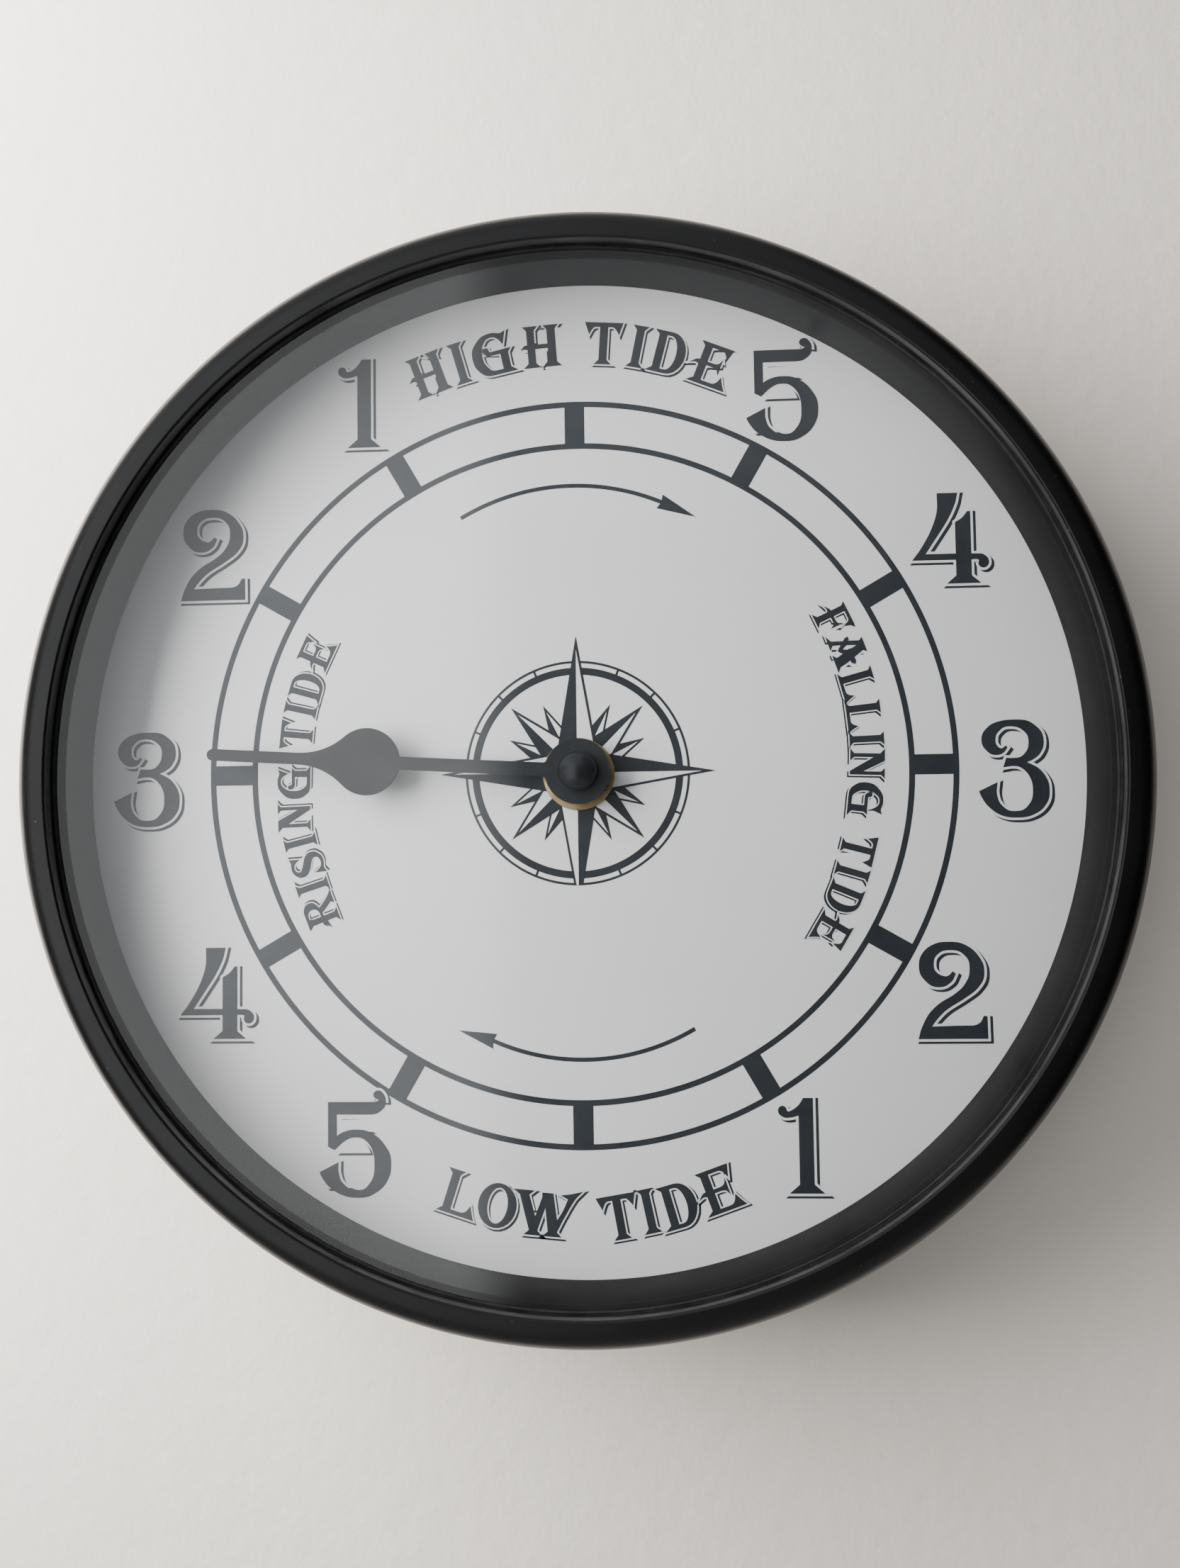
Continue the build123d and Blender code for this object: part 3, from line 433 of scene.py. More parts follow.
def readOutline(text):
    points = []
    for word in text.split():
        x, y = word[1:].split(",")
        points.append((word[0], Vector((float(x), float(y)))))
    handled = []
    count = len(points)
    for number, (kind, point) in enumerate(points):
        before = points[number - 1][1] - point
        after = points[(number + 1) % count][1] - point
        if kind == "h":
            left, right = Vector((before.x * roundReach, 0)), Vector((after.x * roundReach, 0))
        elif kind == "v":
            left, right = Vector((0, before.y * roundReach)), Vector((0, after.y * roundReach))
        elif kind == "s":
            along = (after - before).normalized()
            left, right = along * -before.length / 3, along * after.length / 3
        else:
            left, right = before / 3, after / 3
        handled.append((point, point + left, point + right))
    return handled


def arcRun(centre, radius, start, end):
    # bezier points along an arc, in degrees
    steps = max(1, math.ceil(abs(end - start) / 45))
    turn = math.radians(end - start) / steps
    reach = radius * 4 / 3 * math.tan(turn / 4)
    run = []
    for step in range(steps + 1):
        angle = math.radians(start) + turn * step
        point = Vector((centre[0] + radius * math.cos(angle), centre[1] + radius * math.sin(angle)))
        along = Vector((-math.sin(angle), math.cos(angle))) * reach
        run.append((point, point - along, point + along))
    return run


def circle(centre, radius):
    return arcRun(centre, radius, 0, 360)[:-1]


def openEnds(run):
    # straight lines leave both ends of the run
    first, last = run[0], run[-1]
    run[0] = (first[0], first[0], first[2])
    run[-1] = (last[0], last[1], last[0])
    return run


def arcBand(centre, radius, width, start, end):
    outside = openEnds(arcRun(centre, radius + width / 2, start, end))
    inside = openEnds(arcRun(centre, radius - width / 2, end, start))
    return outside + inside


def corners(*points):
    return [(Vector(point),) * 3 for point in points]


def moved(outline, shift, size=1.0, turn=0.0):
    spin = Matrix.Rotation(math.radians(turn), 2)
    return [tuple(spin @ (p * size) + Vector(shift) for p in point) for point in outline]


def curveMesh(curve):
    holder = bpy.data.objects.new("outline", curve)
    mesh = bpy.data.meshes.new_from_object(holder)
    bpy.data.objects.remove(holder)
    bpy.data.curves.remove(curve)
    mesh.materials.clear()
    return mesh


def flatMesh(outlines, grow=0.0, smoothness=8, thickness=0.0, edge=0.0):
    # fills outlines; with a thickness it is a plate whose edges are rounded by edge
    curve = bpy.data.curves.new("outline", "CURVE")
    curve.dimensions = "2D"
    curve.fill_mode = "BOTH"
    curve.resolution_u = smoothness
    curve.offset = grow - edge
    curve.extrude = max(0.0, thickness / 2 - edge)
    curve.bevel_depth = edge
    curve.bevel_resolution = 2
    for outline in outlines:
        spline = curve.splines.new("BEZIER")
        spline.bezier_points.add(len(outline) - 1)
        spline.use_cyclic_u = True
        for target, (point, left, right) in zip(spline.bezier_points, outline):
            target.handle_left_type = "FREE"
            target.handle_right_type = "FREE"
            target.co = (*point, 0)
            target.handle_left = (*left, 0)
            target.handle_right = (*right, 0)
    mesh = curveMesh(curve)
    if thickness == 0 and mesh.polygons and mesh.polygons[0].normal.z < 0:
        mesh.flip_normals()
    return mesh


# wall, floor and light
room = {"wallReach": 1400, "wallHole": 118, "wallBack": -0.4, "floorLevel": -1450}
reach, floorLevel = room["wallReach"], room["floorLevel"]
wallOutline = corners((-reach, floorLevel), (reach, floorLevel), (reach, reach), (-reach, reach))
wallMesh = flatMesh([wallOutline, circle((0, 0), room["wallHole"])], smoothness=24)
place("wall", joined([(wallMesh, 0, (0, 0, room["wallBack"]))]), ["wallPlaster"], None, smooth=0)
floorMesh = bpy.data.meshes.new("floor")
floorCorners = ((-reach, -reach), (reach, -reach), (reach, 2 * reach), (-reach, 2 * reach))
floorMesh.from_pydata([(x, floorLevel, out) for x, out in floorCorners], [], [(0, 1, 2, 3)])
place("floor", floorMesh, ["paleFloor"], None, smooth=0)

lights = {
    "windowSide": {
        "place": (-350, 130, 205), "aim": (-60, 0, 0), "size": (280, 520), "power": 9.8,
        "tint": (1.0, 0.985, 0.965),
    },
    "fillRight": {
        "place": (330, 60, 620), "aim": (60, 0, 0), "size": (500, 500), "power": 0.1,
        "tint": (0.99, 0.99, 1.0),
    },
    "backLeft": {
        "place": (-500, 450, -700), "aim": (0, 0, 0), "size": (500, 500), "power": 26.0,
        "tint": (1.0, 0.99, 0.97),
    },
    "backRight": {
        "place": (650, 150, -600), "aim": (0, 0, 0), "size": (400, 500), "power": 14.0,
        "tint": (0.97, 0.985, 1.0),
    },
}
for name, light in lights.items():
    data = bpy.data.lights.new(name, "AREA")
    data.shape = "RECTANGLE"
    data.size, data.size_y = light["size"][0] * mm, light["size"][1] * mm
    data.energy = light["power"]
    data.color = light["tint"]
    lamp = bpy.data.objects.new(name, data)
    lamp.location = toFrame @ Vector(light["place"])
    towards = toFrame @ Vector(light["aim"]) - lamp.location
    lamp.rotation_euler = towards.to_track_quat("-Z", "Y").to_euler()
    lamp.visible_glossy = False
    bpy.context.scene.collection.objects.link(lamp)

# soft room: a broad pale window to the left of the camera, a lit ceiling, dim sides, and a paler room
# behind the wall that lights the back; each pair of numbers is where an edge starts and where it ends
roomLight = {
    "dim": (0.034, 0.034, 0.036), "deep": (0.003, 0.003, 0.003), "window": (1.44, 1.46, 1.48),
    "ceiling": (0.60, 0.61, 0.63), "behind": (0.42, 0.43, 0.45),
    "windowRight": (-0.10, -0.16), "windowLeft": (-0.75, -0.62), "windowTop": (0.60, 0.44),
    "windowLow": (-0.56, -0.42), "ceilingRise": (0.15, 0.5), "ceilingRight": (0.42, 0.12),
    "deepRight": (0.50, 0.80), "behindRise": (0.02, 0.40),
}
world = bpy.data.worlds.new("softRoom")
bpy.context.scene.world = world
world.use_nodes = True
sky = world.node_tree
sky.nodes.clear()
towardsRoom = addNode(sky, "TexCoord").outputs["Generated"]
heading = addNode(sky, "SeparateXYZ", links={"Vector": towardsRoom}).outputs


def softEdge(axis, edge):
    return spread(sky, heading[axis], 0.0, 1.0, *roomLight[edge], "SMOOTHSTEP")


window = mathNode(sky, "LESS_THAN", heading["Y"], 0.0)
for axis, edge in (("X", "windowRight"), ("X", "windowLeft"), ("Z", "windowTop"), ("Z", "windowLow")):
    window = mathNode(sky, "MULTIPLY", window, softEdge(axis, edge))
ceiling = mathNode(sky, "MULTIPLY", softEdge("Z", "ceilingRise"), softEdge("X", "ceilingRight"))
roomColour = roomLight["dim"]
for amount, name in (
    (softEdge("X", "deepRight"), "deep"), (ceiling, "ceiling"), (window, "window"),
    (softEdge("Y", "behindRise"), "behind"),
):
    roomColour = blendColour(sky, amount, roomColour, roomLight[name])
glow = addNode(sky, "Background", links={"Color": roomColour})
addNode(sky, "OutputWorld", links={"Surface": glow.outputs[0]})
print("room and lights set")


# case, lens and dial
roundSteps = 384  # steps round the large rings
case = {
    "rim": 125.0, "depth": 42.0, "round": 4.5, "innerRound": 0.6, "skirtBack": 124.2, "skirtWall": 2.0,
    "skirtRound": 0.35, "lensOpening": 117.6, "rimWall": 2.4, "crown": 3.0, "crownRound": 1.2,
    "coreRise": 2.1, "coreRound": 0.5, "collarRadius": 118.3, "collarDepth": 3.0, "collarRound": 0.3,
    "lensSeat": 36.7, "cardBack": 20.4, "bossRadius": 3.2, "bossCircle": 119.9, "bossCount": 6,
    "bossStart": 30, "bossRounding": (0.15, 0.3, 0, 0), "bossSteps": 48, "pilot": 1.05, "cornerSteps": 10,
}


def bossPlaces():
    # angle and centre of each screw boss
    places, away = [], case["bossCircle"]
    for number in range(case["bossCount"]):
        angle = math.radians(case["bossStart"] + number * 360 / case["bossCount"])
        places.append((angle, (away * math.cos(angle), away * math.sin(angle))))
    return places


def caseShell():
    c = case
    core = c["depth"] - c["crown"]
    collar = c["lensSeat"] - c["collarDepth"]
    profile = rounded([
        (c["lensOpening"], c["lensSeat"], 0),
        (c["lensOpening"], c["depth"], c["innerRound"]),
        (c["rim"], c["depth"], c["round"]),
        (c["rim"], c["depth"] - c["round"], 0),
        (c["skirtBack"], 0, c["skirtRound"]),
        (c["skirtBack"] - c["skirtWall"], 0, c["skirtRound"]),
        (c["rim"] - c["skirtWall"], core - c["coreRise"], c["crownRound"]),
        (c["rim"] - c["skirtWall"] - c["innerRound"], core, c["coreRound"]),
        (c["lensOpening"] + c["rimWall"], core, c["coreRound"]),
        (c["lensOpening"] + c["rimWall"], collar, c["collarRound"]),
        (c["collarRadius"], collar, c["collarRound"]),
        (c["collarRadius"], c["lensSeat"], 0),
    ], c["cornerSteps"])
    boss = bandProfile(c["pilot"], c["bossRadius"], c["cardBack"], c["lensSeat"], c["bossRounding"])
    parts = [(turnedMesh(profile, roundSteps), 0, (0, 0, 0))]
    for angle, axis in bossPlaces():
        mesh = turnedMesh(boss, c["bossSteps"], axis)
        # trimmed where the inner ring stands
        for vertex in mesh.vertices:
            away = math.hypot(vertex.co.x, vertex.co.y)
            if away < c["collarRadius"]:
                vertex.co.x *= c["collarRadius"] / away
                vertex.co.y *= c["collarRadius"] / away
        parts.append((mesh, 0, (0, 0, 0)))
    return joined(parts)


place("caseMoulding", caseShell(), ["caseSatin"], "clock_body", ["case_frame"])

# the ring opens out a little towards the lens, as moulded rings do
spacer = {
    "inner": (116.4, 117.2), "outer": 118.2, "low": 20.8, "high": 36.7,
    "rounding": (0.12, 0.12, 0.12, 0.08),
}
spacerMesh = turnedMesh(bandProfile(**spacer), roundSteps)
place("innerWall", spacerMesh, ["ringGloss"], "clock_body", ["spacer_ring"])

lens = {"radius": 117.3, "front": 38.7, "edge": 0.15, "edgeSteps": 4, "band": 0.1}


def lensMesh():
    # flat sheet with a fine polished edge; its side is sealed by the glue and lets nothing through
    low, high, radius, edge = case["lensSeat"], lens["front"], lens["radius"], lens["edge"]
    inner = radius - edge
    side = bandProfile(inner, radius, low, high, (0, edge, edge, 0), lens["edgeSteps"])
    face = inner - lens["band"]
    mesh = turnedMesh([(0, low), (face, low), *side, (face, high), (0, high)])
    for polygon in mesh.polygons:
        if math.hypot(polygon.center.x, polygon.center.y) > inner:
            polygon.material_index = 1
    return mesh


place("clearLens", lensMesh(), ["lensClear", "clearGlue"], "clock_body", ["glass_lens"])

# bead of clear glue, a little uneven as it was laid; each wave is its count, height and start
glue = {
    "inner": 117.0, "outer": 117.6, "low": 38.7, "rise": 0.5, "fill": 0.86, "wave": 0.10,
    "waves": ((5, 1.0, 0.6), (13, 0.6, 2.0), (31, 0.4, 0.0)), "steps": 6, "clear": 0.02, "lap": 0.1,
}


def glueRow(angle):
    wave = sum(height * math.sin(count * angle + start) for count, height, start in glue["waves"])
    width = (glue["outer"] - glue["inner"]) * min(1.0, glue["fill"] * (1 + glue["wave"] * wave))
    foot, back = lens["radius"] + glue["clear"], case["lensSeat"] + glue["clear"]
    row = [(glue["outer"], back)]
    for step in range(glue["steps"] + 1):
        turn = math.pi / 2 * step / glue["steps"]
        height = glue["low"] + glue["rise"] * (1 - math.sin(turn))
        row.append((glue["outer"] - width * (1 - math.cos(turn)), height))
    return row + [(foot, glue["low"] - glue["lap"]), (foot, back)]


place("glueBead", turnedMesh(glueRow, roundSteps), ["clearGlue"], "clock_body", ["lens_glue"])
print("case and lens made")


# printed dial
dialFront = -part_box("dial_card")[0].y / mm
printSetup = {"centre": (0.0, 0.55), "layer": 0.02, "over": 0.005}
glyphs = {
    "1": ["c5.6,21.2 c7.6,21.2 c7.6,1.8 c9.7,0.0 c2.5,0.0 c4.6,1.8 c4.6,17.6 s2.6,17.1 s1.0,17.2 "
          "v-0.05,18.5 h0.75,19.45 v1.6,18.7 s2.1,18.2 s3.4,18.7 s4.7,19.8"],
    "2": ["c0.0,0.0 s0.7,2.3 s2.3,5.3 s4.7,7.7 s8.3,9.9 s10.7,12.2 v11.85,15.9 s10.9,18.7 h7.8,20.1 "
          "s4.7,19.3 v3.5,16.6 s4.3,14.7 s6.2,13.85 s7.2,14.2 c7.9,14.95 c8.4,14.55 s7.4,12.8 h4.7,11.7 "
          "s1.6,13.3 v0.45,16.3 s1.5,19.5 s4.1,21.3 h7.5,21.7 s11.5,20.6 s14.0,18.0 v14.85,15.0 "
          "s13.5,11.6 s10.3,9.1 s6.3,6.6 s4.1,4.5 c2.6,2.5 h11.4,2.7 s13.7,3.3 c14.7,4.85 c15.25,4.8 "
          "c15.3,0.0"],
    "3": ["c5.7,11.55 c6.3,13.4 h7.7,13.35 s10.3,14.2 v11.5,17.3 s10.4,19.8 h7.2,20.95 s4.7,19.9 "
          "v3.75,17.6 s4.2,16.2 s5.2,15.6 c6.15,16.2 c6.4,15.95 s5.5,14.85 h4.0,14.4 s1.9,15.4 "
          "v0.85,17.8 s2.4,20.7 s5.0,21.9 h8.4,22.2 s12.4,21.2 v14.65,17.3 s13.8,14.6 s12.3,13.3 "
          "c10.5,12.5 s13.4,10.9 s15.2,8.4 v15.6,5.8 s14.6,2.6 s12.2,0.7 h8.4,-0.05 s4.6,0.6 s2.0,2.5 "
          "s0.6,4.5 c0.0,5.9 c3.9,7.75 s3.7,5.4 s4.6,2.8 h7.7,1.15 s10.7,2.2 v12.15,6.1 s11.5,9.2 "
          "s9.8,11.2 h7.7,11.8"],
    "4": ["c5.9,21.05 c10.3,21.05 s9.7,18.6 s8.0,15.0 s5.4,11.0 c2.55,6.75 c9.9,6.75 c9.9,14.2 "
          "s11.5,15.2 c12.7,16.65 c13.15,16.65 c13.15,6.7 h15.1,6.65 s16.6,6.0 v17.15,4.8 h16.0,3.6 "
          "v15.0,4.6 s15.15,5.3 s14.6,5.6 c13.15,5.6 c13.15,1.6 c15.0,0.05 c8.0,0.05 c9.9,1.7 c9.9,5.6 "
          "c0.0,5.6 s1.8,8.0 s4.3,12.4 s5.8,16.9"],
    "5": ["c2.0,21.65 h12.4,21.65 s13.7,21.95 c14.15,22.7 s13.6,22.5 v12.7,23.4 h13.7,24.3 s14.8,23.6 "
          "v15.35,22.1 s14.6,20.2 h11.8,19.05 c3.75,19.05 c3.75,13.7 s5.4,14.7 h8.5,15.3 s12.4,14.3 "
          "s15.2,11.6 v16.5,7.8 s15.5,3.6 s12.8,1.0 h9.0,0.0 s5.2,0.6 s2.2,2.4 s0.6,4.4 c0.0,5.6 "
          "c4.15,7.7 s4.2,5.5 s5.2,3.1 h8.6,1.4 s11.4,2.6 v12.9,7.0 s12.4,10.8 s10.8,13.0 h8.4,13.8 "
          "s5.8,13.0 c3.35,10.9 c2.0,11.6"],
    "A": ["c0,0 c3.8,0 c2.7,0.95 c3.5,3.6 s4.2,2.6 c4.8,2.0 s5.4,2.4 c6.1,3.2 c6.8,0.95 c5.8,0 c10.7,0 "
          "c9.5,0.95 s9.0,3.0 c8.5,4.5 s9.4,4.6 c10.0,5.4 s9.2,5.8 c8.1,5.7 c6.9,8.9 c7.6,9.8 c3.4,9.8 "
          "c4.1,8.9 c3.0,5.6 s2.6,6.0 c1.9,6.0 s2.0,5.2 c2.7,4.4 c1.6,0.95",
          "c3.95,4.9 s4.4,3.9 c4.8,3.4 s5.3,3.8 c5.9,4.5 c5.0,8.0"],
    "D": ["c0,0 h4.4,0 v8.2,4.9 h4.4,9.8 c0.3,9.8 c1.3,8.9 c1.3,0.95",
          "c3.0,0.75 h4.2,0.75 v6.2,4.9 h4.2,9.05 c3.0,9.05"],
    "E": ["c0,0 c9.0,0 s8.2,1.2 c7.4,2.7 s6.7,1.3 h5.4,0.75 c3.0,0.75 c3.0,4.65 c4.9,4.65 s5.8,4.3 "
          "c6.3,3.5 c6.3,6.6 s5.8,5.7 c4.9,5.35 c3.0,5.35 c3.0,9.05 h5.4,9.05 s6.5,8.5 c7.2,7.2 "
          "c7.9,9.8 c0.4,9.8 c1.3,8.9 c1.3,5.4 s0.5,5.2 c-0.5,4.3 s0.4,4.6 c1.3,4.4 c1.3,0.95"],
    "F": ["c0,0 c4.0,0 c2.9,0.95 c2.9,4.65 c4.6,4.65 s5.4,4.3 c5.9,3.5 c5.9,6.6 s5.4,5.7 c4.6,5.35 "
          "c2.9,5.35 c2.9,9.05 h5.2,9.05 s6.3,8.5 c7.0,7.2 c7.7,9.8 c0.4,9.8 c1.2,8.9 c1.2,5.4 s0.5,5.2 "
          "c-0.6,4.3 s0.3,4.6 c1.2,4.4 c1.2,0.95"],
    "G": ["h3.9,0 c9.7,0 c8.4,1.1 c8.4,4.7 c9.1,5.6 h4.4,5.5 v3.95,6.1 h3.4,6.7 v2.85,6.1 s3.2,5.1 "
          "h4.2,4.75 c6.7,4.75 c6.7,0.85 h4.9,0.85 s3.0,2.1 v2.2,4.9 s3.0,7.8 h5.1,9.1 s6.6,8.5 "
          "c7.6,7.0 c8.6,9.8 s7.5,9.45 h5.2,9.95 s1.6,8.5 v0,4.9 s1.2,1.3"],
    "H": ["c0,0 c3.5,0 c2.6,0.95 c2.6,4.5 c5.8,4.5 c5.8,0.95 c4.9,0 c8.5,0 c7.5,0.95 c7.5,8.9 c8.3,9.8 "
          "c5.1,9.8 c5.8,8.9 c5.8,5.35 c2.6,5.35 c2.6,8.9 c3.4,9.8 c0.2,9.8 c1.0,8.9 c1.0,5.35 s0.3,5.3 "
          "c-0.5,4.5 s0.2,4.6 c1.0,4.4 c1.0,0.95"],
    "I": ["c0,0 c3.6,0 c2.65,0.95 c2.65,8.9 c3.5,9.8 c0.1,9.8 c0.95,8.9 c0.95,0.95"],
    "L": ["c0,0 c8.6,0 s7.9,1.2 c7.2,2.7 s6.5,1.3 h5.2,0.75 c2.9,0.75 c2.9,8.9 c3.8,9.8 c0.1,9.8 "
          "c1.1,8.9 c1.1,0.95"],
    "N": ["c0.4,0 c3.4,0 c2.4,0.95 c2.4,7.0 c6.7,-0.1 c7.6,-0.1 c7.6,8.9 c8.5,9.8 c5.9,9.8 c6.8,8.9 "
          "c6.8,3.3 c3.5,9.8 c0.2,9.8 c1.5,8.6 c1.5,0.95"],
    "O": ["h4.3,-0.1 v8.7,4.9 h4.3,9.9 v0,4.9",
          "h4.4,0.7 v6.8,4.9 h4.4,9.1 v2.0,4.9"],
    "R": ["c0,0 c3.6,0 c2.7,0.95 c2.7,4.5 c3.9,4.5 s5.0,2.6 c6.2,0.9 c5.6,0 c9.4,0 s8.0,1.2 s6.3,3.4 "
          "c5.4,4.9 s7.3,6.0 v7.8,7.5 s6.9,9.2 h4.6,9.8 c0.3,9.8 c1.1,8.9 c1.1,5.3 s0.3,5.2 c-0.5,4.4 "
          "s0.3,4.6 c1.1,4.4 c1.1,0.95",
          "c2.7,5.2 h3.9,5.2 v5.8,7.2 h3.9,9.05 c2.7,9.05"],
    "S": ["c0.2,-0.1 s1.5,0.4 h3.8,-0.1 s6.2,0.9 v7.1,2.9 s6.3,4.8 s4.4,6.0 s2.8,7.0 v2.2,7.9 h3.7,9.2 "
          "s5.2,8.5 c6.0,7.1 c6.7,9.95 s5.6,9.6 h3.7,9.95 s1.4,9.0 v0.6,7.1 s1.4,5.3 s3.2,4.1 s4.9,3.1 "
          "v5.4,2.0 h3.6,0.65 s1.9,1.3 c0.8,3.1"],
    "T": ["c2.65,0 c6.25,0 c5.3,0.95 c5.3,8.9 h6.4,8.9 s7.3,8.3 c8.0,7.2 c8.8,9.8 c0,9.8 c1.0,7.2 "
          "s1.6,8.3 h2.5,8.9 c3.6,8.9 c3.6,0.95"],
    "W": ["c3.0,0 c6.7,0 c5.7,0.95 c7.3,6.7 c8.3,0.95 c7.3,0 c11.2,0 c10.2,0.95 s11.6,4.2 s13.8,8.6 "
          "c15.3,10.4 s13.0,9.7 c10.9,9.3 c12.4,8.6 s11.4,5.8 c10.1,3.4 c8.8,9.5 c6.4,9.5 c6.5,8.6 "
          "c5.1,3.8 c3.3,8.9 c4.3,9.8 c0,9.8 c1.3,8.9 c4.0,0.95"],
}
# each mark: glyph, x, y and turn of its own lower left corner
numerals = {
    "size": 1.0, "bold": 0.17, "gap": 0.56, "shift": (0.64, -0.54),
    "marks": [
        ("1", -56.6, 78.4, 0), ("2", -94.9, 42.3, 0), ("3", -111.0, -11.7, 0), ("4", -94.5, -61.8, 0),
        ("5", -61.5, -98.4, 0),
        ("5", 40.8, 76.8, 0), ("4", 78.6, 42.0, 0), ("3", 92.2, -12.4, 0), ("2", 77.0, -62.6, 0),
        ("1", 44.8, -97.3, 0),
    ],
}
wordings = {
    "highTide": {
        "size": 1.015, "bold": 0.12, "gap": 0.34, "shift": (0.44, -0.42),
        "marks": [
            ("H", -37.2, 89.4, 20), ("I", -27.8, 92.7, 16), ("G", -23.1, 94.0, 12),
            ("H", -11.6, 96.2, 4), ("T", 2.3, 97.0, -4), ("I", 12.5, 96.1, -12), ("D", 17.1, 95.1, -15),
            ("E", 26.8, 92.4, -22),
        ],
    },
    "lowTide": {
        "size": 1.01, "bold": 0.12, "gap": 0.34, "shift": (0.44, -0.42),
        "marks": [
            ("L", -34.2, -101.0, -18), ("O", -25.4, -104.3, -11), ("W", -16.9, -106.4, -5),
            ("T", 4.4, -108.5, 10), ("I", 14.0, -106.7, 12), ("D", 18.9, -106.1, 16),
            ("E", 28.5, -102.8, 20),
        ],
    },
    "risingTide": {
        "size": 0.775, "bold": 0.10, "gap": 0.26, "shift": (0.38, -0.36),
        "marks": [
            ("R", -56.6, -34.1, 111), ("I", -59.2, -26.7, 108), ("S", -59.9, -22.9, 108),
            ("I", -62.1, -16.5, 104), ("N", -63.7, -13.4, 92), ("G", -63.9, -5.7, 89),
            ("T", -63.6, 5.6, 84), ("I", -62.7, 13.2, 77), ("D", -61.8, 16.7, 74),
            ("E", -60.2, 24.3, 65),
        ],
    },
    "fallingTide": {
        "size": 0.79, "bold": 0.10, "gap": 0.26, "shift": (0.38, -0.36),
        "marks": [
            ("F", 55.0, 35.2, -65), ("A", 58.0, 29.8, -71), ("L", 60.5, 21.1, -75),
            ("L", 62.1, 14.5, -84), ("I", 62.9, 7.4, -88), ("N", 63.1, 4.0, -92),
            ("G", 62.8, -3.6, -97), ("T", 61.4, -14.8, -105), ("I", 59.5, -22.1, -107),
            ("D", 58.5, -25.9, -113), ("E", 56.2, -33.2, -121),
        ],
    },
}


def inked(outlines, lift=0.0, ink=0, grow=0.0, smoothness=2):
    # one printed shape, lifted above the first layer, in black (0) or white (1)
    height = dialFront + printSetup["layer"] + lift
    return flatMesh(outlines, grow, smoothness), ink, (0, 0, height)


def printPiece(name, parts, inks):
    place(name, joined(parts), inks, "clock_body", smooth=0)


def printMarks(name, group):
    # black marks in a white edge, over a wider black shape that shows as a line at the lower right
    bold, wide, layer = group["bold"], group["bold"] + group["gap"], printSetup["layer"]
    parts = []
    for grow, shift, lift, ink in (
        (wide, group["shift"], 0, 0), (wide, (0, 0), layer, 1), (bold, (0, 0), 2 * layer, 0)
    ):
        for glyph, left, low, turn in group["marks"]:
            lean = Matrix.Rotation(math.radians(turn), 2) @ Vector(shift)
            origin = (left + lean.x + printSetup["centre"][0], low + lean.y + printSetup["centre"][1])
            outlines = [moved(readOutline(text), origin, group["size"], turn) for text in glyphs[glyph]]
            parts.append(inked(outlines, lift, ink, grow, 6))
    printPiece(name, parts, ["printInk", "cardPaper"])


printMarks("printNumerals", numerals)
for name, group in wordings.items():
    printMarks("print" + name[0].upper() + name[1:], group)

track = {"outer": (87.76, 86.38), "inner": (77.70, 76.32), "barWidth": 4.7, "bars": 12, "overlap": 0.5}


def ringBand(centre, radii, smoothness):
    return inked([circle(centre, radius) for radius in radii], smoothness=smoothness)


def printTrack():
    centre = printSetup["centre"]
    parts = [ringBand(centre, track["outer"], 32), ringBand(centre, track["inner"], 32)]
    half = track["barWidth"] / 2
    low, high = track["inner"][1] + track["overlap"], track["outer"][0] - track["overlap"]
    bar = corners((-half, low), (half, low), (half, high), (-half, high))
    for number in range(track["bars"]):
        parts.append(inked([moved(bar, centre, turn=number * 360 / track["bars"])], printSetup["over"]))
    printPiece("printTrack", parts, ["printInk"])


printTrack()

rose = {
    "centre": (-0.38, -0.05), "thick": (24.74, 23.03), "thin": (26.33, 25.75), "ticks": 16,
    "tickWidth": 0.56, "tickLift": 0.003, "pointLift": 0.004, "layerLift": 0.014, "inkLift": 0.006,
    # each point as tip, far end of its axis, end of its dark side, end of its pale side
    "north": [(0, 32.3), (0, 0), (-4.74, 4.74), (4.74, 4.74)],
    "southCut": 26.2,
    "diagonal": [(15.5, 15.5), (0, 0), (4.08, 8.5), (8.5, 4.08)],
    "small": [(7.9, 15.9), (2.17, 4.36), (1.13, 8.24), (5.9, 6.6)],
    "line": 0.56, "smallLine": 0.48, "tickLap": (0.2, 0.1),
}


def twoTone(points, turn, lift, line, cut=None):
    # one point of the rose: the dark half solid, the pale half outlined on its outer side
    tip, axisEnd, darkEnd, paleEnd = [Vector(point) for point in points]
    side = (paleEnd - tip).normalized()
    inward = Vector((-side.y, side.x))
    if inward.dot(axisEnd - tip) < 0:
        inward = -inward
    axis = (axisEnd - tip).normalized()
    innerTip = tip + axis * line / axis.dot(inward)
    parts = []
    for outline, ink in (
        ([tip, darkEnd, axisEnd], 0), ([tip, axisEnd, paleEnd], 0),
        ([innerTip, axisEnd, paleEnd + inward * line], 1),
    ):
        if cut:
            # flat end, level with the outer ring
            top, *sides = outline
            ends = [top + (end - top) * (top.y - cut) / (top.y - end.y) for end in sides]
            outline = [ends[0], *sides, ends[1]]
        run = moved(corners(*outline), rose["centre"], turn=turn)
        parts.append(inked([run], lift + (1 + ink) * rose["inkLift"], ink))
    return parts


def mirrored(points):
    # the same point on the other side of the diagonal, dark half again on the left
    tip, axisEnd, darkEnd, paleEnd = [(y, x) for x, y in points]
    return [tip, axisEnd, paleEnd, darkEnd]


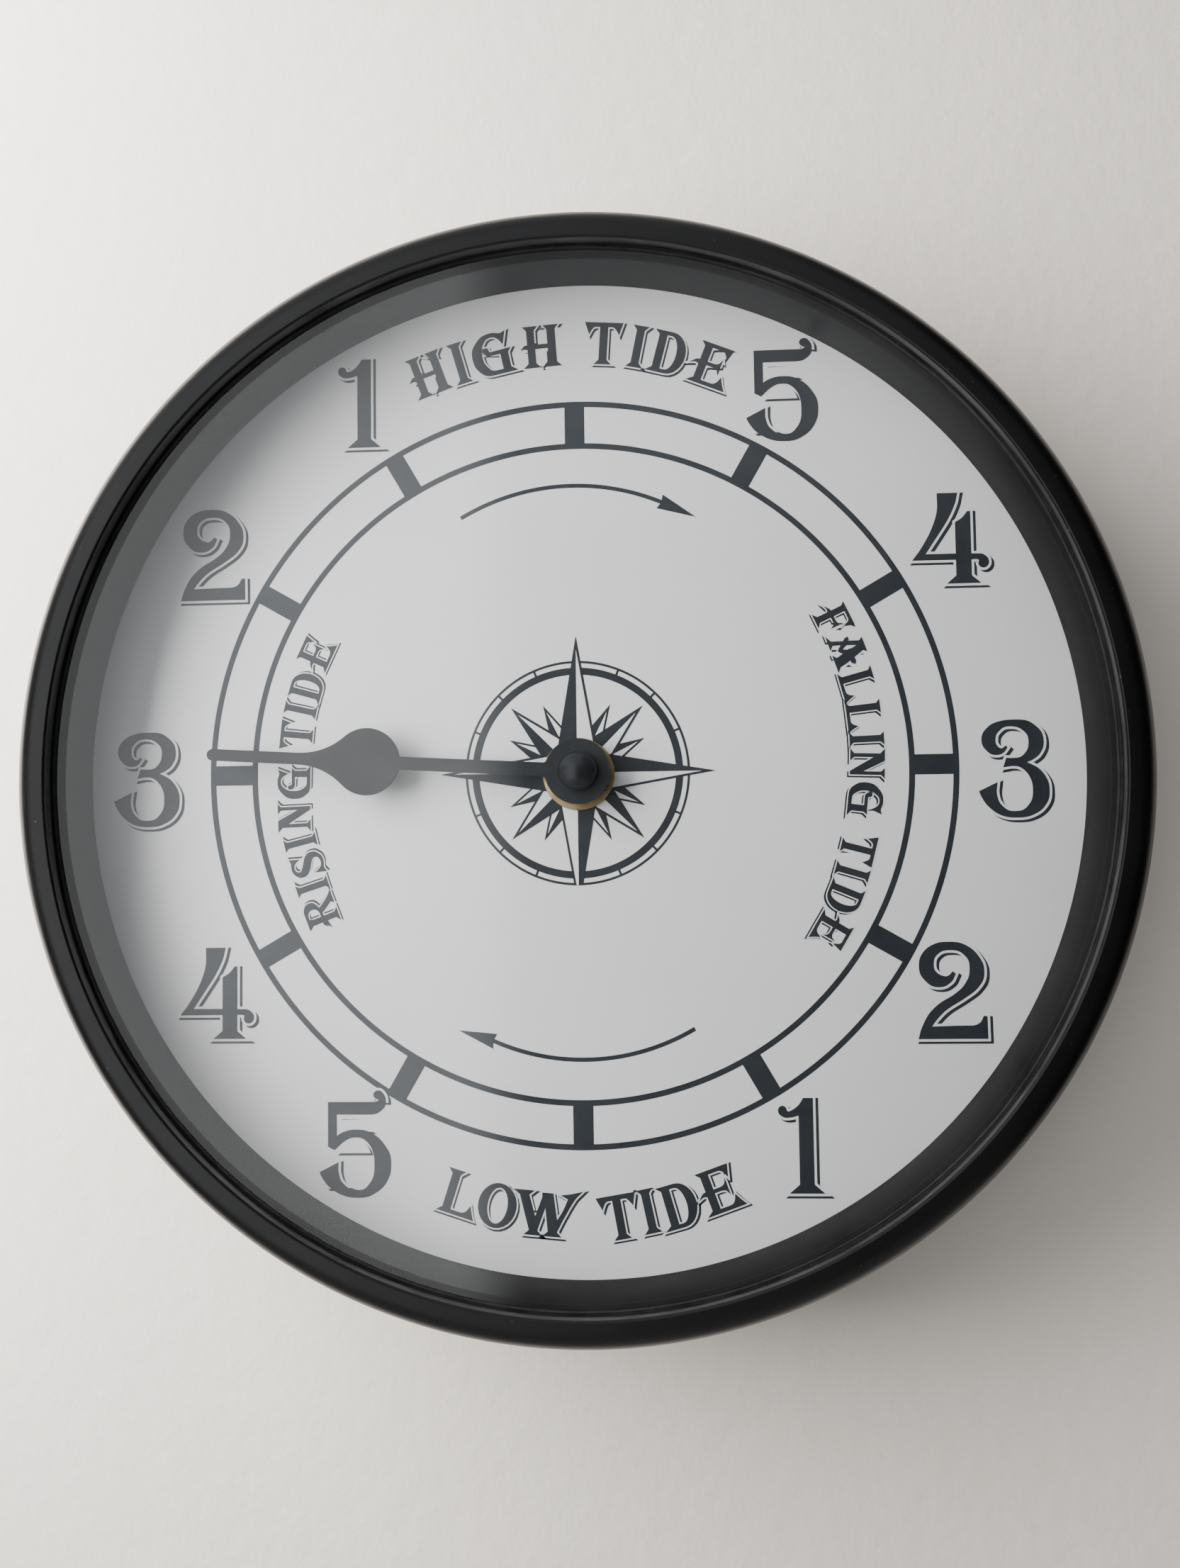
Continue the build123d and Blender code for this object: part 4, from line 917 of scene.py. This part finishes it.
def printRose():
    centre = rose["centre"]
    parts = [ringBand(centre, rose["thick"], 24), ringBand(centre, rose["thin"], 24)]
    half = rose["tickWidth"] / 2
    low, high = rose["thick"][0] - rose["tickLap"][0], rose["thin"][1] + rose["tickLap"][1]
    tick = corners((low, -half), (high, -half), (high, half), (low, half))
    for number in range(rose["ticks"]):
        # none under the four long points
        if number % 4:
            parts.append(inked([moved(tick, centre, turn=number * 360 / rose["ticks"])], rose["tickLift"]))
    for number, (points, line) in enumerate((
        (rose["small"], rose["smallLine"]), (mirrored(rose["small"]), rose["smallLine"]),
        (rose["diagonal"], rose["line"]), (rose["north"], rose["line"]),
    )):
        for quarter in range(4):
            cut = rose["southCut"] if number == 3 and quarter == 2 else None
            lift = rose["pointLift"] + number * rose["layerLift"]
            parts += twoTone(points, quarter * 90, lift, line, cut)
    printPiece("printRose", parts, ["printInk", "cardPaper"])


printRose()

# thin arcs with slim heads that show which way the hand runs
arrows = [
    {"centre": (-1.0, 15.1), "radius": 52.4, "from": 120.2, "to": 66.0, "tip": (28.4, 59.2)},
    {"centre": (0.2, -15.7), "radius": 51.4, "from": 300.2, "to": 246.0, "tip": (-28.8, -60.2)},
]
arrowLook = {"line": 1.0, "headHalf": 1.8, "notch": 0.5}


def printArrows():
    centre = Vector(printSetup["centre"])
    parts = []
    for arrow in arrows:
        middle, tip = centre + Vector(arrow["centre"]), centre + Vector(arrow["tip"])
        band = arcBand(middle, arrow["radius"], arrowLook["line"], arrow["from"], arrow["to"])
        parts.append(inked([band], smoothness=24))
        end = math.radians(arrow["to"])
        base = middle + arrow["radius"] * Vector((math.cos(end), math.sin(end)))
        along = (tip - base).normalized()
        across = Vector((-along.y, along.x)) * arrowLook["headHalf"]
        tail = base - along * arrowLook["notch"]
        parts.append(inked([corners(tip, tail + across, base, tail - across)], printSetup["over"]))
    printPiece("printArrows", parts, ["printInk"])


printArrows()
print("dial printed")


# hand, cap and the fixings round them
hand = {
    "turn": 176.5, "length": 87.0, "back": 25.6, "sheet": 0.5, "hub": 7.6, "armHub": 1.65, "armDisc": 1.52,
    "disc": 49.2, "discRadius": 7.85, "pointer": 1.38, "neck": 65.4, "edge": 0.09, "armSink": 0.01,
    # how far the fillets reach into hub, arm and disc, and how full they are
    "hubEase": 4.5, "armStart": 0.75, "armStop": 0.35, "discEase": 4.0, "shortRun": 2.5, "softness": 2.6,
    "shaft": 2.5, "collet": 3.6, "colletLength": 1.3, "colletLap": 0.1, "colletRounding": (0.1, 0.15, 0, 0),
}


def handOutline():
    # half outline from the hub to the tip, then its mirror
    h = hand
    hubAngle = math.degrees(math.asin(h["armHub"] / h["hub"]))
    hubRun = openEnds(arcRun((0, 0), h["hub"], 180, hubAngle + h["hubEase"]))
    armStart = h["hub"] * math.cos(math.radians(hubAngle)) + h["armStart"]
    armNear = corners((armStart, h["armHub"] - h["armSink"]))
    armFar = corners((h["disc"] - h["discRadius"] - h["armStop"], h["armDisc"]))
    # the neck's flank is an arc that touches both the disc and the pointer
    reach = h["neck"] - h["disc"]
    taper = (reach ** 2 - h["discRadius"] ** 2 + h["pointer"] ** 2) / (2 * (h["discRadius"] - h["pointer"]))
    lift = h["pointer"] + taper
    swing = math.degrees(math.atan2(lift, reach))
    discStart = 180 - math.degrees(math.asin(h["armDisc"] / h["discRadius"])) - h["discEase"]
    discRun = openEnds(arcRun((h["disc"], 0), h["discRadius"], discStart, swing))
    neckRun = openEnds(arcRun((h["neck"], lift), taper, swing + 180, 270))
    tipRun = openEnds(arcRun((h["length"] - h["pointer"], 0), h["pointer"], 90, 0))
    # disc runs into the hollow flank without a corner
    flank = [(*discRun[-1][:2], neckRun[0][2])] + neckRun[1:]
    upper = hubRun + armNear + armFar + discRun[:-1] + flank + tipRun
    lower = [
        tuple(Vector((p.x, -p.y)) for p in (point, right, left)) for point, left, right in reversed(upper)
    ]
    return upper + lower[1:-1]


def easedCorners(outline):
    # gives the short runs between hub, arm and disc a gentle fillet
    eased = []
    for number, (point, left, right) in enumerate(outline):
        before, after = outline[number - 1][0], outline[(number + 1) % len(outline)][0]
        gapBefore, gapAfter = (before - point).length, (after - point).length
        bareLeft, bareRight = left == point, right == point
        behind = before if bareLeft else left
        ahead = after if bareRight else right
        if bareLeft and gapBefore < hand["shortRun"]:
            left = point - (ahead - point).normalized() * gapBefore / hand["softness"]
        if bareRight and gapAfter < hand["shortRun"]:
            right = point + (point - behind).normalized() * gapAfter / hand["softness"]
        eased.append((point, left, right))
    return eased


def handMesh():
    h = hand
    blade = moved(easedCorners(handOutline()), (0, 0), turn=h["turn"])
    outlines = [blade, circle((0, 0), h["shaft"])]
    sheet = flatMesh(outlines, smoothness=10, thickness=h["sheet"], edge=h["edge"])
    low, high = h["back"] - h["colletLength"], h["back"] + h["colletLap"]
    collet = turnedMesh(bandProfile(h["shaft"], h["collet"], low, high, h["colletRounding"]), steps=64)
    return joined([(sheet, 0, (0, 0, h["back"] + h["sheet"] / 2)), (collet, 1, (0, 0, 0))])


place("handBlade", handMesh(), ["handLacquer", "agedBrass"], "hand_group", ["tide_hand"])

cap = {
    "radius": 4.5, "low": 26.1, "edge": 2.1, "dome": 1.5, "plug": 1.6, "shaftEnd": 28.4, "plugLength": 1.5,
    "lip": 0.1, "lipWidth": 0.26, "round": 0.12, "lipRound": 0.10, "steps": 24,
}


def capMesh():
    # shallow dome inside a fine raised lip, on a short straight edge, with its plug below
    top = cap["low"] + cap["edge"]
    lip = top + cap["lip"]
    sphere = (cap["radius"] ** 2 + cap["dome"] ** 2) / (2 * cap["dome"])
    inner = cap["radius"] - cap["lipWidth"]
    plugEnd = cap["shaftEnd"] - cap["plugLength"]
    points = [(0, plugEnd), (cap["plug"], plugEnd)]
    points += [(cap["plug"], cap["shaftEnd"]), (hand["shaft"], cap["shaftEnd"])]
    points += rounded([
        (hand["shaft"], cap["low"], 0), (cap["radius"], cap["low"], cap["round"]),
        (cap["radius"], lip, cap["round"]), (inner, lip, cap["lipRound"]), (inner, top, 0),
    ], 3)
    rise = math.asin(inner / sphere)
    for step in range(1, cap["steps"]):
        angle = rise * (1 - step / cap["steps"])
        points.append((sphere * math.sin(angle), top + cap["dome"] - sphere + sphere * math.cos(angle)))
    return turnedMesh(points + [(0, top + cap["dome"])], steps=128)


place("handCap", capMesh(), ["capSatin"], "hand_group", ["hand_cap"])

# the washer hangs a little low on the bushing
washer = {
    "inner": 4.6, "outer": 8.45, "low": 20.8, "high": 21.4,
    "rounding": (0.08, 0.08, 0.18, 0.12), "steps": 4,
}
washerMesh = turnedMesh(bandProfile(**washer), steps=160, axis=(-0.05, -0.42))
place("brassWasher", washerMesh, ["agedBrass"], "clock_body", ["brass_washer"])
print("hand and cap made")


# back: screws, cell, winding, spring and marks
def nodeBox(name):
    # box of a node in drawing coordinates: low and high (x, y, out)
    low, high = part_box(name)
    return Vector((low.x, low.z, -high.y)) / mm, Vector((high.x, high.z, -low.y)) / mm


def cutAway(mesh, cutters):
    target = bpy.data.objects.new("target", mesh)
    bpy.context.scene.collection.objects.link(target)
    holders = []
    for cutter in cutters:
        holder = bpy.data.objects.new("cutter", cutter)
        bpy.context.scene.collection.objects.link(holder)
        trim = target.modifiers.new("cut", "BOOLEAN")
        trim.operation = "DIFFERENCE"
        trim.solver = "EXACT"
        trim.object = holder
        holders.append(holder)
    bpy.context.view_layer.update()
    result = bpy.data.meshes.new_from_object(target.evaluated_get(bpy.context.evaluated_depsgraph_get()))
    for holder in holders + [target]:
        bpy.data.objects.remove(holder)
    return result


screw = {
    "head": 1.8, "seat": 18.8, "dome": 1.3, "domeRound": 0.85, "rimRound": 0.12, "shank": 1.0, "tip": 24.8,
    "recess": 1.05, "slot": 0.42, "deep": 0.75, "crossTurn": 20, "pitch": 0.5, "thread": 0.18,
    "plain": 0.4, "runOut": 0.15, "point": 1.2, "pointEnd": 0.15, "eachTurn": 2.3,
}


def screwMesh():
    # pan head with a cross recess, seen from behind, and its thread
    s = screw
    headEnd = s["seat"] - s["dome"]
    profile = rounded([
        (0, headEnd, 0), (s["head"], headEnd, s["domeRound"]), (s["head"], s["seat"], s["rimRound"]),
        (s["shank"], s["seat"], 0),
    ], 6)
    level = s["seat"] + s["plain"]
    while level < s["tip"] - s["point"]:
        profile += [(s["shank"] - s["thread"], level), (s["shank"], level + s["pitch"] / 2)]
        level += s["pitch"]
    profile += [(s["shank"] - s["runOut"], level), (s["pointEnd"], s["tip"]), (0, s["tip"])]
    long, thin = s["recess"], s["slot"] / 2
    bar = corners((-long, -thin), (long, -thin), (long, thin), (-long, thin))
    cross = []
    for turn in (0, 90):
        leg = moved(bar, (0, 0), turn=turn + s["crossTurn"])
        cutter = flatMesh([leg], smoothness=2, thickness=2 * s["deep"])
        cutter.transform(Matrix.Translation((0, 0, headEnd)))
        cross.append(cutter)
    return cutAway(turnedMesh(profile, steps=40), cross)


screws = []
for angle, spot in bossPlaces():
    mesh = screwMesh()
    mesh.transform(Matrix.Rotation(angle * screw["eachTurn"], 4, "Z"))
    screws.append((mesh, 0, (*spot, 0)))
place("plateScrews", joined(screws), ["zincScrew"], "clock_body", ["plate_screws"], 40)

cell = {
    "length": 49.2, "band": (36.5, 47.4), "minusEnd": 23.75, "y": -19.3, "out": 8.4, "canRadius": 6.2,
    # corners as radius, height and rounding: minus end, jacket, and plus end from the can's length on
    "foot": [
        (0, 0.25, 0), (4.7, 0.25, 0.2), (5.0, 0, 0.15), (6.2, 0, 0.4), (6.55, 0.5, 0.2),
        (7.1, 0.7, 0.3),
    ],
    "head": [
        (7.1, -0.6, 0.4), (6.35, -0.1, 0.2), (5.9, -0.5, 0.2), (3.6, -0.5, 0.3), (2.95, 0, 0.1),
        (2.7, 1.0, 0.35), (0, 1.0, 0),
    ],
}


def cellMesh():
    # round cell laid along the bay: steel can, shrunk jacket with a pale band, button at the left
    start, end = cell["band"]
    radius = cell["head"][0][0]
    head = [(r, cell["length"] + rise, size) for r, rise, size in cell["head"]]
    profile = rounded(cell["foot"] + head, 4)
    # rings where the jacket changes colour
    first = next(i for i, point in enumerate(profile) if profile[i + 1][1] - point[1] > start / 2)
    profile[first + 1:first + 1] = [(radius, start), (radius, end)]
    mesh = turnedMesh(profile, steps=96)
    for face in mesh.polygons:
        onJacket = math.hypot(face.center.x, face.center.y) >= cell["canRadius"]
        face.material_index = (2 if start < face.center.z < end else 1) if onJacket else 0
    laid = Matrix.Rotation(math.radians(-90), 4, "Y")
    mesh.transform(Matrix.Translation((cell["minusEnd"], cell["y"], cell["out"])) @ laid)
    return mesh


cellFinishes = ["cellSteel", "cellJacketDark", "cellJacketBand"]
place("cellRound", cellMesh(), cellFinishes, "battery", ["battery_cell"])

coil = {"turns": 30, "groove": 0.07, "deep": 0.6}


def windingMesh():
    # close turns of enamelled wire between the bobbin's flanges
    low, high = nodeBox("coil_winding")
    middle, length = (low + high) / 2, high.y - low.y
    radius = (high.x - low.x) / 2
    core, valley = radius - coil["deep"], radius - coil["groove"]
    pitch = length / coil["turns"]
    profile = [(core, 0)]
    for turn in range(coil["turns"]):
        for step, share in ((0.0, 0.0), (0.25, 0.8), (0.5, 1.0), (0.75, 0.8)):
            profile.append((radius - coil["groove"] * (1 - share), (turn + step) * pitch))
    mesh = turnedMesh(profile + [(valley, length), (core, length)], steps=64)
    upright = Matrix.Rotation(math.radians(90), 4, "X")
    mesh.transform(Matrix.Translation((middle.x, high.y, middle.z)) @ upright)
    return mesh


place("coilTurns", windingMesh(), ["copperWire"], "clock_body", ["coil_winding"], 50)

# the minus contact presses on the cell with a cone of spring wire
spring = {"x": (26.55, 24.15), "radius": (4.1, 2.6), "turns": 3.25, "wire": 0.32, "steps": 26}


def springMesh():
    curve = bpy.data.curves.new("spring", "CURVE")
    curve.dimensions = "3D"
    curve.bevel_depth = spring["wire"]
    curve.bevel_resolution = 3
    curve.use_fill_caps = True
    count = round(spring["turns"] * spring["steps"])
    run = curve.splines.new("POLY")
    run.points.add(count)
    for number, point in enumerate(run.points):
        share = number / count
        angle = 2 * math.pi * spring["turns"] * share
        x = spring["x"][0] + (spring["x"][1] - spring["x"][0]) * share
        radius = spring["radius"][0] + (spring["radius"][1] - spring["radius"][0]) * share
        point.co = (x, cell["y"] + radius * math.cos(angle), cell["out"] + radius * math.sin(angle), 1)
    return curveMesh(curve)


place("contactSpring", springMesh(), ["nickelStrip"], "clock_body", smooth=60)

# raised plus and minus beside the ends of the cell
signs = {
    "arm": 1.6, "line": 0.7, "rise": 0.25, "edge": 0.06, "plus": (-19.0, -8.6), "minus": (18.2, -8.6),
}


def signMesh():
    back = nodeBox("movement_rear_cover")[0].z
    half, thin = signs["arm"], signs["line"] / 2
    plus = corners(
        (-half, -thin), (-thin, -thin), (-thin, -half), (thin, -half), (thin, -thin), (half, -thin),
        (half, thin), (thin, thin), (thin, half), (-thin, half), (-thin, thin), (-half, thin),
    )
    minus = corners((-half, -thin), (half, -thin), (half, thin), (-half, thin))
    parts = []
    for outline, spot in ((plus, signs["plus"]), (minus, signs["minus"])):
        outlines = [moved(outline, spot)]
        mesh = flatMesh(outlines, smoothness=2, thickness=signs["rise"] * 2, edge=signs["edge"])
        parts.append((mesh, 0, (0, 0, back)))
    return joined(parts)


place("cellSigns", signMesh(), ["movementSpark"], "clock_body")
print("back pieces made")


# carried-over nodes
nodeFinishes = {
    "cardPaper": ["dial_card"], "plateMatt": ["back_plate"], "rubberBlack": ["rubber_washer"],
    "agedBrass": ["hex_nut", "threaded_bushing"], "zincSheet": ["hanger_bracket", "hanger_tab"],
    "movementSpark": ["movement_housing", "movement_rear_cover"], "phenolicBoard": ["circuit_board"],
    "drawnCan": ["quartz_crystal"], "chipResin": ["clock_chip"], "softIron": ["stator", "coil_core"],
    "bobbinNylon": ["coil_bobbin"], "nickelStrip": ["positive_contact", "negative_contact"],
    "bondedMagnet": ["rotor_magnet"], "knobPlastic": ["setting_knob"],
    "whiteAcetal": [
        "rotor_pinion", "intermediate_wheel", "seconds_wheel", "third_wheel", "centre_wheel",
        "centre_pinion", "motion_wheel", "tide_wheel",
    ],
}
for finishName, names in nodeFinishes.items():
    for name in names:
        mesh = nodes[name].data
        mesh.materials.clear()
        mesh.materials.append(materials[finishName])
print("carried-over nodes finished")
